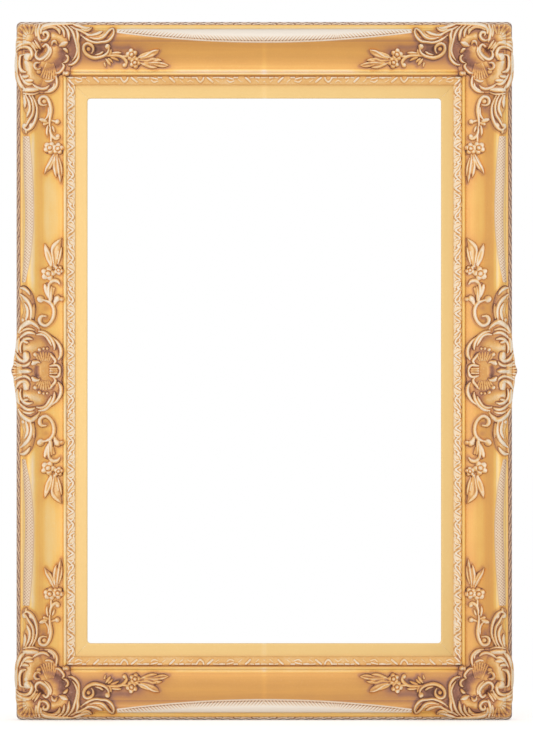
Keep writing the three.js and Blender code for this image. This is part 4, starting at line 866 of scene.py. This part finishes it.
def painted_shade_near_carving(u, v):
    """Painted shade beside the carvings and sprays, the painted shadow that they cast on their inner side,
    and the painted shade in the bays.

    The shade fades over 6.5 mm. The shadow is as wide as its shift inwards, 1.1 mm.
    """
    u = np.minimum(u, WIDTH - u)
    v = np.minimum(v, HEIGHT - v)
    rise = HEIGHT / 2 - v

    def gap(shift):
        """Distance to the nearest carving or spray, when these are moved inwards by the shift."""
        near = np.minimum(-inside_outline(CORNER_OUTLINE, u - shift, v - shift),
                          -inside_outline(MIDDLE_OUTLINE, u - shift, rise + shift))
        near = np.minimum(near, gap_to(END_SPRAY_ROLLS + SIDE_SPRAY_ROLLS, u - shift, v - shift))
        return np.minimum(near, gap_to(MIDDLE_SPRAY_ROLLS, u - shift, rise + shift))

    broad = np.exp(-(np.clip(gap(0), 0, None) / 6.5) ** 1.3)
    line = np.exp(-(np.clip(gap(1.1), 0, None) / 1.1) ** 2)
    bays = painted_light_and_wash_patches(BAY_SHADE_PATCHES, u, v) + painted_light_and_wash_patches(MIDDLE_BAY_SHADE_PATCHES, u, rise)
    return broad, line, bays


def run_of(side):
    """Whether a side is an upright, its length, and how far its mitre runs along it for an offset of 1."""
    if side in (0, 2):
        return True, HEIGHT, END_SCALE
    return False, WIDTH, 1


def shaded(u):
    """Share of the shade towards the right edge."""
    return step(u, WIDTH - SHADE_START, WIDTH - SHADE_FULL)


def rub_at_middle(along):
    """Share of the pale rub across the middle of an end rail, a few millimetres wide."""
    return np.exp(-((along - WIDTH / 2) / 3) ** 2)


def top_band_width(u):
    """Width of an end rail's crest band: it falls with the square of the distance from the middle."""
    share = (u - WIDTH / 2) / BAND_HALF_LENGTH
    return BAND_MIDDLE_WIDTH - (BAND_MIDDLE_WIDTH - BAND_END_WIDTH) * share ** 2


def grid_along(offsets, length, spacing, slope):
    """Offsets and places along a side, spaced evenly between its two mitres and closer at its ends."""
    ends = np.array([0, 0.6, 1.2, 1.8, 2.4, 3.2, 4.4, 6, 8])
    run = np.linspace(9.5, length - 9.5, int((length - 19) / spacing) + 1)
    share = np.concatenate([ends, run, length - ends[::-1]]) / length
    t, f = np.meshgrid(offsets, share)
    start = t * slope + MITRE_GAP
    return t, start + f * (length - 2 * start)


def place_on_side(side, t, along):
    """Offset and place along a side to u and v."""
    if side in (0, 2):
        return (t if side == 0 else WIDTH - t), along
    return along, (t * END_SCALE if side == 3 else HEIGHT - t * END_SCALE)


def rounded_outside(u, v):
    """Places in an outer corner's square, drawn in square rings onto circles about its centre."""
    a = OUTER_RADIUS - np.minimum(u, WIDTH - u)
    b = OUTER_RADIUS - np.minimum(v, HEIGHT - v)
    pull = np.where((a > 0) & (b > 0), 1 - np.maximum(a, b) / np.maximum(np.hypot(a, b), 1e-9), 0)
    u = u + np.sign(WIDTH / 2 - u) * a * pull
    return u, v + np.sign(HEIGHT / 2 - v) * b * pull


def rounded_sight(u, v):
    """The same at the sight opening's corners, fading out 5.5 mm behind its edge."""
    a = SIDE_RAIL + SIGHT_RADIUS - np.minimum(u, WIDTH - u)
    b = END_RAIL + SIGHT_RADIUS - np.minimum(v, HEIGHT - v)
    ring = np.maximum(a, b)
    fade = np.clip((9.5 - ring) / 5.5, 0, 1)
    pull = np.where((a > 0) & (b > 0), fade * (1 - ring / np.maximum(np.hypot(a, b), 1e-9)), 0)
    u = u + np.sign(WIDTH / 2 - u) * a * pull
    return u, v + np.sign(HEIGHT / 2 - v) * b * pull


def rail(side):
    """A mitred rail: the moulding on top, and a back with the rebate that the slip lies in.

    Its tone goes by the offset, with painted shade beside the carvings, the painted shadow that they cast on
    their inner side, painted shade in the bays, and a pale rub across the middle of an end rail. Where the
    crest of an end rail is bare, inside its band, it is browner.
    """
    edge_and_fillet = [np.linspace(0, EDGE_END, 9), np.linspace(5.6, FILLET_END, 4)]
    crest_and_cove = [np.linspace(8, CREST_END, 14), np.linspace(22.2, 55.6, 31)]
    bead_and_bed = [np.linspace(55.85, 60.25, 9), [60.55, LIP_BED_START, 63.95, 64.05, LIP_END]]
    offsets = np.concatenate(edge_and_fillet + crest_and_cove + bead_and_bed)
    upright, length, slope = run_of(side)
    t, along = grid_along(offsets, length, 1.9, slope)
    u, v = place_on_side(side, t, along)
    broad, line, bays = painted_shade_near_carving(u, v)
    tone = tone_at(UPRIGHT_TONES if upright else END_TONES, t)
    # Painted shade beside the carvings and in the bays, and their painted shadow on the inner side
    tone = tone - broad * (0.07 if upright else 0.1) - 0.2 * line + bays
    if not upright:
        bare = step(t * END_SCALE - BAND_OUTSIDE - top_band_width(u), -1.49, 0.51) * (t < 23)
        tone = tone - 0.34 * bare + 0.05 * rub_at_middle(u) * (t > 23) - 0.04 * (v > HEIGHT / 2)
    tone = tone - 0.1 * shaded(u) * (t > 20)
    u, v = rounded_outside(u, v)
    high = np.where(t > LIP_START, LIP_BED_TOP - LIP_BED_FALL * (t - LIP_BED_START), moulding(t))
    low = np.where(t > RAIL_REBATE_START, RAIL_REBATE_DEPTH, 0)
    return two_sheets(world(u, v, high), world(u, v, low)), tone, np.stack([along, t], -1)


def repeated(rolls, repeat, along, across):
    """Height of a pattern's rolls, repeated along a side.

    A roll that runs past the end of its repeat goes on into the next one.
    """
    place = along % repeat
    high = np.zeros(along.shape)
    for rise, *places in rolls:
        path = smooth(places, 4)
        for shift in (-repeat, 0, repeat):
            span = path[:, 0] + shift
            if span.max() < -2 or span.min() > repeat + 2:
                continue
            away, half = nearest(path + (shift, 0, 0), place, across)
            high = np.maximum(high, rise * np.sqrt(np.clip(1 - (away / half) ** 2, 0, None)))
    return high


def lip_strip(side):
    """Leaf lip: a strip sloping down to the slip, with hooked leaves and short ribs in relief.

    A repeat begins 43.7 mm from an upright's ends and 48 mm from an end rail's.
    """
    upright, length, slope = run_of(side)
    t, along = grid_along(np.linspace(LIP_STRIP_START, LIP_END, 16), length, 0.72, slope)
    u, v = place_on_side(side, t, along)
    from_end = np.minimum(along, length - along)
    if upright:
        lift = repeated(LIP_ROLLS, LIP_REPEAT, from_end - 43.7, t - LIP_STRIP_START)
    else:
        lift = repeated(END_LIP_ROLLS, END_LIP_REPEAT, from_end - 48, t - LIP_START)
    sunk_edges = 0.9 * (1 - step(t, LIP_STRIP_START, 62.6)) + 0.3 * step(t, 69.6, LIP_END)
    ground = 18.4 - 0.36 * (t - LIP_STRIP_START) - sunk_edges
    high = ground + 0.8 * lift
    weight = np.ones(t.shape)
    # Raised leaves are paler, and the hollows beside them hold painted shade; on an end rail painted shade
    # also runs where the lip meets the slip
    if upright:
        tone = 0.93 + 0.1 * step(lift, 0.15, 0.9) - 0.62 * step(blurred(lift, weight, 1.8) - lift, 0.08, 0.5)
    else:
        tone = 0.74 + 0.26 * step(lift, 0.2, 0.9) * (1 - 0.3 * step(t, 63.6, 65))
        tone = tone - 0.2 * step(blurred(lift, weight, 2) - lift, 0.08, 0.4) - 0.12 * step(t, 69.6, 70.4)
    # Painted shade along the lip's outer edge, in the crease beside the bead
    tone = tone - (0.12 if upright else 0.04) * np.exp(-((t - 61.9) / 0.6) ** 2)
    low = 15.8 - 0.25 * (t - LIP_STRIP_START)
    return two_sheets(world(u, v, high), world(u, v, low)), tone, np.stack([along, t], -1)


def edge_strip(side):
    """Leaf edge: flame leaves in low relief on the quarter round at the outer edge of a rail.

    The leaves' rows are drawn 5.3 mm across and squeezed into the edge's reach.
    """
    upright, length, slope = run_of(side)
    reach = 4.9 if upright else 3.7
    offsets = reach * (1 - np.cos(np.linspace(0.12, 1, 12) * math.pi / 2)) + 0.05
    t, along = grid_along(offsets, length, 0.85, slope)
    u, v = place_on_side(side, t, along)
    phase = np.minimum(along, length - along) + (3 if upright else 0)
    lift = repeated(EDGE_ROLLS, EDGE_REPEAT, phase, t * 5.3 / reach)
    high = moulding(t) + 0.15 + lift * step(t, 0, 0.6)
    # Dark ground between the leaves: brown wash and painted shade; painted shade also runs along the strip's
    # inner edge, where it meets the fillet
    if upright:
        tone = 0.07 + 0.57 * step(lift, 0.08, 0.7)
    else:
        tone = 0.12 + 0.86 * step(lift, 0.05, 0.6)
    tone = tone - 0.2 * step(t, reach - 1, reach - 0.2) - 0.08 * shaded(u)
    u, v = rounded_outside(u, v)
    solid = two_sheets(world(u, v, high), world(u, v, moulding(t) - SUNK))
    return solid, tone, np.stack([along, t], -1)


def slip(side):
    """Flat slip with a softened sight edge, and the picture's rebate behind it."""
    upright, length, slope = run_of(side)
    offsets = np.array([64.3, 68, 70.4, 71.2, 73, 76, 79.15, 79.25, 81, 83, 84.3, 84.9, 85.25, 85.5])
    t, along = grid_along(offsets, length, 4, slope)
    u, v = place_on_side(side, t, along)
    u, v = rounded_sight(u, v)
    high = SLIP_TOP - 0.9 * (1 - np.sqrt(1 - np.clip((t - 84.3) / 1.2, 0, 1) ** 2))
    low = np.where(t > PICTURE_REBATE_START, PICTURE_REBATE_DEPTH, 0)
    tone = 0.6 + (0.06 if upright else -0.1) * (1 - step(t, 70.4, 73.4)) + 0.2 * step(t, 84.2, 85.4)
    if not upright:
        tone = tone - 0.03 + 0.12 * rub_at_middle(along) + 0.05 * (v > HEIGHT / 2)
    tone = tone - 0.14 * shaded(u)
    return two_sheets(world(u, v, high), world(u, v, low)), tone, np.stack([along, t], -1)


def band(u, v, wide, from_inner, slant, top):
    """A crest band: a low crescent with slanted gadroons inside a thin rolled edge.

    wide is the band's width at each place and from_inner the distance in from its inner edge. The
    gadroons are 4.1 mm apart on the end rails and 3.7 mm on the uprights, where a second set of cuts
    crosses them.
    """
    from_outer = wide - from_inner
    rim = np.minimum(from_inner, from_outer)
    lift = 2.1 * np.sqrt(1 - (1 - np.clip(rim / 1.4, 0, 1)) ** 2)
    if top:
        zone = step(from_inner, 1.5, 2.1) * (1 - step(from_inner, 4.4, 9.6)) * step(from_outer, 0.6, 2.4)
        flute = np.abs(np.sin(math.pi * (u + slant * from_inner) / 4.1))
    else:
        zone = step(from_inner, 0.6, 1.6) * step(from_outer, 0.4, 1.2)
        first = np.abs(np.sin(math.pi * (v + 0.9 * from_inner) / 3.7))
        second = np.abs(np.sin(math.pi * (v - 1.2 * from_inner + 1) / 3.7))
        flute = 0.5 * first + 0.5 * second
    groove = np.exp(-((from_inner - 2.2) / 0.7) ** 2) * (1 if top else 0.2) * step(wide, 5, 8)
    lift = np.maximum(lift - 0.8 * zone * (1 - flute) - 0.5 * groove, 0.2)
    # The cuts are dark with brown wash and painted shade, and the groove near the inner edge with painted
    # shade
    if top:
        tone = 1.08 - zone * (0.08 + 0.74 * (1 - step(flute, 0.05, 0.7))) - 0.56 * groove
    else:
        tone = 0.86 - zone * 0.6 * (1 - step(flute, 0.1, 0.8)) - 0.16 * (1 - step(from_outer, 0.5, 5))
    # Painted shadow along the band's inner edge
    tone = tone - 0.14 * (1 - step(from_inner, 0.6, 1.5))
    ground = moulding(offset_of(u, v))
    return u, v, np.minimum(ground + lift, HIGHEST), ground - SUNK, None, tone


def top_band():
    """Crescent from corner to corner, widest at the middle; its cuts change slant on the way."""
    share, q = np.meshgrid(np.linspace(-1, 1, 640), np.linspace(0, 1, 24), indexing="ij")
    u = WIDTH / 2 + share * BAND_HALF_LENGTH
    wide = top_band_width(u)
    slant = np.tanh((np.abs(u - WIDTH / 2) - 88) / 4) * np.sign(WIDTH / 2 - u)
    return band(u, BAND_OUTSIDE + q * wide, wide, (1 - q) * wide, -slant, True)


def side_band():
    """Crescent down an upright, bowed towards the opening between the two fronds.

    Its two edges are smooth curves through set offsets at shares of its length.
    """
    share, q = np.meshgrid(np.linspace(0, 1, 340), np.linspace(0, 1, 16), indexing="ij")
    outer = smooth([(0, 8.2, 0), (0.25, 9.2, 0), (0.55, 11, 0), (0.8, 9.6, 0), (1, 6.8, 0)])
    inner = smooth([(0, 16.5, 0), (0.25, 20.4, 0), (0.55, 22, 0), (0.8, 18.5, 0), (1, 11.8, 0)])
    low = np.interp(share, outer[:, 0], outer[:, 1])
    wide = np.interp(share, inner[:, 0], inner[:, 1]) - low
    return band(low + q * wide, 139 + share * 176.5, wide, (1 - q) * wide, 1.0, False)


# Finishes

def linear(code):
    """An sRGB hex colour as linear red, green, blue and alpha."""
    parts = [int(code[i:i + 2], 16) / 255 for i in (1, 3, 5)]
    return (*(p / 12.92 if p <= 0.04045 else ((p + 0.055) / 1.055) ** 2.4 for p in parts), 1)


def per_mm(size):
    """Texture scale on coordinates in metres for a pattern whose features are so many millimetres."""
    return 1000 / size


def add(tree, kind, sockets=(), stops=(), **settings):
    """Adds a node, with values or links for its sockets, stops for its ramp and its own settings."""
    made = tree.nodes.new(kind)
    for key, value in settings.items():
        setattr(made, key, value)
    for key, value in dict(sockets).items():
        if isinstance(value, bpy.types.NodeSocket):
            tree.links.new(value, made.inputs[key])
        else:
            made.inputs[key].default_value = value
    for i, (place, code) in enumerate(stops):
        mark = made.color_ramp.elements[i] if i < 2 else made.color_ramp.elements.new(place)
        mark.position = place
        mark.color = linear(code)
    return made


def new_finish(name):
    """A material with an empty node tree."""
    finish = bpy.data.materials.new(name)
    finish.use_nodes = True
    finish.node_tree.nodes.clear()
    return finish, finish.node_tree


def mix_in(tree, base, noise, amount):
    """base plus the noise's departure from its middle, times an amount."""
    part = add(tree, "ShaderNodeMath", {0: noise, 1: -0.5}, operation="ADD").outputs[0]
    return add(tree, "ShaderNodeMath", {0: part, 1: amount, 2: base}, operation="MULTIPLY_ADD").outputs[0]


def gilding(name, stops, brushed, blotch, speck, roughness, metallic, flecks):
    """Gilding whose tone attribute runs from dark wash and painted shade through gold to pale rub and painted
    highlight.

    Clouds 24 mm across, grit of 2.2 mm and brush marks 90 mm long and 2.4 mm apart move the tone,
    and the highest grit shows pale flecks. Grains of 0.9 mm move the roughness and the bump. Real
    bronze powder is far finer: grit and grains are drawn as coarse as they need to be to show.
    """
    finish, tree = new_finish(name)
    tone = add(tree, "ShaderNodeAttribute", attribute_name="tone").outputs[2]
    place = add(tree, "ShaderNodeTexCoord").outputs["Object"]
    cloud = add(tree, "ShaderNodeTexNoise", {"Vector": place, "Scale": per_mm(24), "Detail": 3.0}).outputs[0]
    grit = add(tree, "ShaderNodeTexNoise", {"Vector": place, "Scale": per_mm(2.2), "Detail": 3.0,
                                            "Roughness": 0.6}).outputs[0]
    fine = add(tree, "ShaderNodeTexNoise", {"Vector": place, "Scale": per_mm(0.9), "Detail": 2.0}).outputs[0]
    plan = add(tree, "ShaderNodeUVMap", uv_map="plan").outputs[0]
    drawn = add(tree, "ShaderNodeMapping", {"Vector": plan, "Scale": (per_mm(90), per_mm(2.4), 1)}).outputs[0]
    brush = add(tree, "ShaderNodeTexNoise", {"Vector": drawn, "Scale": 1.0, "Detail": 4.0}).outputs[0]
    tone = mix_in(tree, tone, cloud, blotch)
    tone = mix_in(tree, tone, grit, speck)
    tone = mix_in(tree, tone, brush, brushed)
    colour = add(tree, "ShaderNodeValToRGB", {"Fac": tone}, stops).outputs[0]
    worn = add(tree, "ShaderNodeMapRange", {"Value": grit, "From Min": 0.6, "From Max": 0.72,
                                            "To Max": flecks}).outputs[0]
    colour = add(tree, "ShaderNodeMix", {0: worn, 6: colour, 7: linear("#F7E4D6")},
                 data_type="RGBA").outputs[2]
    rough = add(tree, "ShaderNodeMapRange", {"Value": fine, "To Min": roughness - 0.1,
                                             "To Max": roughness + 0.12}).outputs[0]
    skin = mix_in(tree, grit, fine, 0.6)
    bump = add(tree, "ShaderNodeBump", {"Height": skin, "Distance": 0.00022, "Strength": 0.5}).outputs[0]
    shader = add(tree, "ShaderNodeBsdfPrincipled", {
        "Base Color": colour, "Roughness": rough, "Metallic": metallic, "Normal": bump})
    add(tree, "ShaderNodeOutputMaterial", {"Surface": shader.outputs[0]})
    return finish


# Bronze-powder gilding over cast and carved ornament, with a brown wash left in the hollows and the high
# places rubbed back, and painted shade and highlight in its tone: it gives dull gold forms, mauve-brown
# recesses and pinkish cream ridges.
GILT_STOPS = [(0, "#6B4334"), (0.12, "#875B49"), (0.25, "#A8745F"), (0.38, "#C08660"), (0.5, "#D69A5F"),
              (0.62, "#E8AB62"), (0.74, "#F4C077"), (0.86, "#FBD8A6"), (1, "#FFEED6")]
carved_gilding = gilding("bronze_powder_gilding_on_carving", GILT_STOPS, brushed=0.0, blotch=0.2,
                         speck=0.16, roughness=0.5, metallic=0.12, flecks=0.25)

# The same gilding laid on with a wide brush along the mouldings: faint lengthwise streaks.
RAIL_STOPS = [(0, "#6B4334"), (0.15, "#8E6352"), (0.3, "#B07C62"), (0.45, "#CC8F5C"), (0.6, "#E1A45A"),
              (0.72, "#F0B35F"), (0.82, "#FBC96D"), (0.9, "#FCD891"), (1, "#FBE9DA")]
rail_gilding = gilding("brushed_gilding_on_moulding", RAIL_STOPS, brushed=0.09, blotch=0.06,
                       speck=0.04, roughness=0.44, metallic=0.15, flecks=0.06)

# White ground showing through on the crest bands, with brown wash and painted shade held in the cuts.
BAND_STOPS = [(0, "#8A6654"), (0.3, "#BC917A"), (0.5, "#E0B994"), (0.7, "#F2D5B2"),
              (0.85, "#FBE6CF"), (1, "#FFF3E4")]
band_gilding = gilding("rubbed_white_gilding_on_bands", BAND_STOPS, brushed=0.0, blotch=0.08,
                       speck=0.1, roughness=0.52, metallic=0.05, flecks=0.1)

# Paler satin gilding on the flat slip, nearly even, a little darker where the lip shades it.
SLIP_STOPS = [(0, "#C79A58"), (0.3, "#E0B468"), (0.5, "#EBC57E"), (0.65, "#F4CE86"),
              (0.85, "#F7DAA2"), (1, "#FBEFD6")]
slip_gilding = gilding("satin_gilding_on_slip", SLIP_STOPS, brushed=0.06, blotch=0.05,
                       speck=0.03, roughness=0.46, metallic=0.2, flecks=0.06)


def sawn_pine():
    """Bare planed pine on the back: grain 5 mm apart and 160 mm long along the rail, toned with age."""
    finish, tree = new_finish("bare_pine_back")
    plan = add(tree, "ShaderNodeUVMap", uv_map="plan").outputs[0]
    drawn = add(tree, "ShaderNodeMapping", {"Vector": plan, "Scale": (per_mm(160), per_mm(5), 1)}).outputs[0]
    grain = add(tree, "ShaderNodeTexNoise", {"Vector": drawn, "Scale": 1.0, "Detail": 5.0,
                                             "Distortion": 0.6}).outputs[0]
    colour = add(tree, "ShaderNodeValToRGB", {"Fac": grain}, [(0.3, "#A87C4E"), (0.7, "#D8B27F")]).outputs[0]
    bump = add(tree, "ShaderNodeBump", {"Height": grain, "Distance": 0.0003, "Strength": 0.4}).outputs[0]
    shader = add(tree, "ShaderNodeBsdfPrincipled", {"Base Color": colour, "Roughness": 0.72, "Normal": bump})
    add(tree, "ShaderNodeOutputMaterial", {"Surface": shader.outputs[0]})
    return finish


def metal(name, low, high, roughness):
    """Metal with colour in clouds of 7 mm, and scratches 12 mm long across the frame.

    They are 0.4 mm apart, coarser than real ones, because finer ones would not show.
    """
    finish, tree = new_finish(name)
    place = add(tree, "ShaderNodeTexCoord").outputs["Object"]
    cloud = add(tree, "ShaderNodeTexNoise", {"Vector": place, "Scale": per_mm(7), "Detail": 4.0}).outputs[0]
    drawn = add(tree, "ShaderNodeMapping", {"Vector": place,
                                            "Scale": (per_mm(12), per_mm(1), per_mm(0.4))}).outputs[0]
    marks = add(tree, "ShaderNodeTexNoise", {"Vector": drawn, "Scale": 1.0, "Detail": 3.0}).outputs[0]
    colour = add(tree, "ShaderNodeValToRGB", {"Fac": cloud}, [(0.35, low), (0.65, high)]).outputs[0]
    rough = add(tree, "ShaderNodeMapRange", {"Value": marks, "To Min": roughness - 0.08,
                                             "To Max": roughness + 0.14}).outputs[0]
    bump = add(tree, "ShaderNodeBump", {"Height": marks, "Distance": 0.0001, "Strength": 0.3}).outputs[0]
    shader = add(tree, "ShaderNodeBsdfPrincipled", {
        "Base Color": colour, "Roughness": rough, "Metallic": 1.0, "Normal": bump})
    add(tree, "ShaderNodeOutputMaterial", {"Surface": shader.outputs[0]})
    return finish


# Planed pine left bare behind the gilding: warm brown with long darker grain.
pine = sawn_pine()
# Bright zinc plating on stamped steel: a cool grey with a soft shine.
zinc = metal("zinc_plated_steel", "#A9ABA9", "#CFD0CC", roughness=0.36)
# Stamped brass gone dull: brownish yellow patches.
brass = metal("tarnished_brass", "#8F6F33", "#CDA85A", roughness=0.4)


def moulded_rubber():
    """Moulded rubber: dark brown-grey and matt, with a pebbled skin of 0.8 mm.

    A real skin of this kind is finer and would not show.
    """
    finish, tree = new_finish("moulded_rubber")
    place = add(tree, "ShaderNodeTexCoord").outputs["Object"]
    pebble = add(tree, "ShaderNodeTexNoise", {
        "Vector": place, "Scale": per_mm(0.8), "Detail": 2.0}).outputs[0]
    colour = add(tree, "ShaderNodeValToRGB", {"Fac": pebble}, [(0.3, "#37322E"), (0.7, "#514A44")]).outputs[0]
    bump = add(tree, "ShaderNodeBump", {"Height": pebble, "Distance": 0.0002, "Strength": 0.5}).outputs[0]
    shader = add(tree, "ShaderNodeBsdfPrincipled", {"Base Color": colour, "Roughness": 0.82, "Normal": bump})
    add(tree, "ShaderNodeOutputMaterial", {"Surface": shader.outputs[0]})
    return finish


rubber = moulded_rubber()

# The CAD's own pieces on the back: brass turn buttons and rubber bumpers, and the rest plated steel.
# A longer name comes before the one that it begins with.
HARDWARE = {"turn_button_screw": zinc, "turn_button": brass, "wall_bumper": rubber}
for node, piece in frame["nodes"].items():
    finish = next((HARDWARE[kind] for kind in HARDWARE if node.startswith(kind)), zinc)
    piece.data.materials.clear()
    piece.data.materials.append(finish)

# Camera: square to the front, 2.7 mm right of the frame's middle and 2.6 mm below it, as in the
# photograph, and far off with a long lens because the photograph shows no perspective
camera = bpy.data.objects.new("camera", bpy.data.cameras.new("camera"))
camera.data.lens = 250
camera.data.clip_end = 50
camera.location = (0.0027, -6.302, -0.2151)
camera.rotation_euler = (math.pi / 2, 0, 0)
bpy.context.scene.collection.objects.link(camera)
bpy.context.scene.camera = camera

# Pieces
for side, name in enumerate(SIDES):
    solid, tone, plan = rail(side)
    make_piece(f"moulded_rail_{name}", solid, [rail_gilding, pine], tone, plan, [f"rail_{name}"], sharp=40)
    solid, tone, plan = lip_strip(side)
    make_piece(f"leaf_lip_{name}", solid, [carved_gilding], tone, plan, [f"lip_strip_{name}"])
    solid, tone, plan = edge_strip(side)
    make_piece(f"leaf_edge_{name}", solid, [band_gilding], tone, plan)
    solid, tone, plan = slip(side)
    make_piece(f"sight_slip_{name}", solid, [slip_gilding, pine], tone, plan, [f"slip_{name}"],
               sharp=40)


def mirrored_rows(rows):
    """The rows and their reflections in the middle line."""
    return rows + [[rise, *((u, -v, half) for u, v, half in places)] for rise, *places in rows]


def from_middle(made):
    """A piece worked out by rise from the middle line, put in its place down the upright."""
    u, v, *rest = made
    return (u, HEIGHT / 2 - v, *rest)


corner = relief((-3.6, -1.2), (126, 140), CARVING_CELL, CORNER_OUTLINE, CORNER_SWELLS, CORNER_ROLLS,
                CORNER_PATCHES, CARVING_MAT, over_rails)
end_spray = relief((78, 24), (108, 35), SPRAY_CELL, None, END_SPRAY_SWELLS, END_SPRAY_ROLLS,
                   END_SPRAY_PATCHES, SPRAY_MAT, over_rails)
side_spray = relief((24, 87), (33, 110), SPRAY_CELL, None, SIDE_SPRAY_SWELLS, SIDE_SPRAY_ROLLS, [],
                    SPRAY_MAT, over_rails)
middle = from_middle(relief((-7.6, -105.5), (67, 211), CARVING_CELL, MIDDLE_OUTLINE,
                            mirrored_rows(MIDDLE_SWELLS), mirrored_rows(MIDDLE_ROLLS),
                            mirrored_rows(MIDDLE_PATCHES), CARVING_MAT, over_upright))
middle_spray = from_middle(relief((24, 52), (35, 113), SPRAY_CELL, None, MIDDLE_SPRAY_SWELLS,
                                  MIDDLE_SPRAY_ROLLS, MIDDLE_SPRAY_PATCHES, SPRAY_MAT, over_upright))
upright_crest = side_band()
end_crest = top_band()
quarters = (
    ("corner_scrolls", corner, "corner_carving"),
    ("end_flower_spray", end_spray, "end_spray"),
    ("side_flower_spray", side_spray, "side_spray"),
    ("middle_flower_spray", middle_spray, "middle_spray"),
)


def set_relief(name, made, flip_u, flip_v, node, finish=carved_gilding):
    """Turns a piece over to its place; those at the bottom are a little darker."""
    u, v, high, under, cells, tone = made
    u, v = turned_over(u, v, flip_u, flip_v)
    solid = two_sheets(world(u, v, high), world(u, v, under), cells)
    tone = tone - 0.05 * flip_v
    make_piece(name, solid, [finish], tone, np.stack([u, v], -1), [node], sharp=60)


for corner_name, flip_u, flip_v in CORNERS:
    for piece_name, made, node in quarters:
        set_relief(f"{piece_name}_{corner_name}", made, flip_u, flip_v, f"{node}_{corner_name}")
    set_relief(f"side_gadroon_band_{corner_name}", upright_crest, flip_u, flip_v,
               f"side_crest_band_{corner_name}", band_gilding)
for name, flip_u in (("left", False), ("right", True)):
    set_relief(f"middle_shell_{name}", middle, flip_u, False, f"middle_carving_{name}")
for name, flip_v in (("top", False), ("bottom", True)):
    set_relief(f"gadroon_band_{name}", end_crest, False, flip_v, f"crest_band_{name}", band_gilding)


# Floor, lights and background

def studio_floor():
    """Matt white floor at the frame's foot: the lit floor shows white and keeps the frame's shadow."""
    mesh = bpy.data.meshes.new("studio_floor")
    low = cad_box[0][2] - 0.0003
    corners = [(-1.6, -1.5, low), (1.6, -1.5, low), (1.6, 0.5, low), (-1.6, 0.5, low)]
    mesh.from_pydata(corners, [], [(0, 1, 2, 3)])
    finish, tree = new_finish("white_floor_paint")
    path = add(tree, "ShaderNodeLightPath")
    paint = add(tree, "ShaderNodeBsdfDiffuse", {"Color": linear("#F2F1EF")})
    lift = add(tree, "ShaderNodeMath", {0: path.outputs["Is Camera Ray"], 1: 0.5}, operation="MULTIPLY")
    glow = add(tree, "ShaderNodeEmission", {"Color": linear("#FFFFFF"), "Strength": lift.outputs[0]})
    lifted = add(tree, "ShaderNodeAddShader", {0: paint.outputs[0], 1: glow.outputs[0]})
    add(tree, "ShaderNodeOutputMaterial", {"Surface": lifted.outputs[0]})
    mesh.materials.append(finish)
    floor = bpy.data.objects.new("studio_floor", mesh)
    bpy.context.scene.collection.objects.link(floor)


def soft_lamp(name, place, watts):
    """A square soft lamp, 1.2 m wide, turned to face the middle of the frame."""
    lamp = bpy.data.lights.new(name, "AREA")
    lamp.energy = watts
    lamp.size = 1.2
    made = bpy.data.objects.new(name, lamp)
    made.location = place
    aim = np.array([0, 0, -0.21]) - place
    tilt = math.acos(-aim[2] / np.linalg.norm(aim))
    made.rotation_euler = (tilt, 0, math.atan2(aim[1], aim[0]) - math.pi / 2)
    bpy.context.scene.collection.objects.link(made)


def white_world():
    """White to the camera and in reflections, and a dimmer even white as light."""
    world_paint = bpy.data.worlds.new("white_studio")
    world_paint.use_nodes = True
    tree = world_paint.node_tree
    tree.nodes.clear()
    path = add(tree, "ShaderNodeLightPath")
    seen = add(tree, "ShaderNodeMath", {0: path.outputs["Is Camera Ray"], 1: path.outputs["Is Glossy Ray"]},
               operation="MAXIMUM").outputs[0]
    seen = add(tree, "ShaderNodeMath", {0: seen, 1: path.outputs["Is Transmission Ray"]},
               operation="MAXIMUM").outputs[0]
    white = add(tree, "ShaderNodeBackground", {"Color": linear("#FFFFFF"), "Strength": 1.0})
    light = add(tree, "ShaderNodeBackground", {"Color": linear("#FFFFFF"), "Strength": 0.6})
    both = add(tree, "ShaderNodeMixShader", {0: seen, 1: light.outputs[0], 2: white.outputs[0]})
    add(tree, "ShaderNodeOutputWorld", {"Surface": both.outputs[0]})
    bpy.context.scene.world = world_paint


studio_floor()
soft_lamp("key_lamp", (-0.7, -2.85, -0.2), watts=21)
soft_lamp("fill_lamp", (1.2, -2.5, -0.3), watts=4.6)
white_world()
bpy.context.scene.view_settings.view_transform = "Standard"
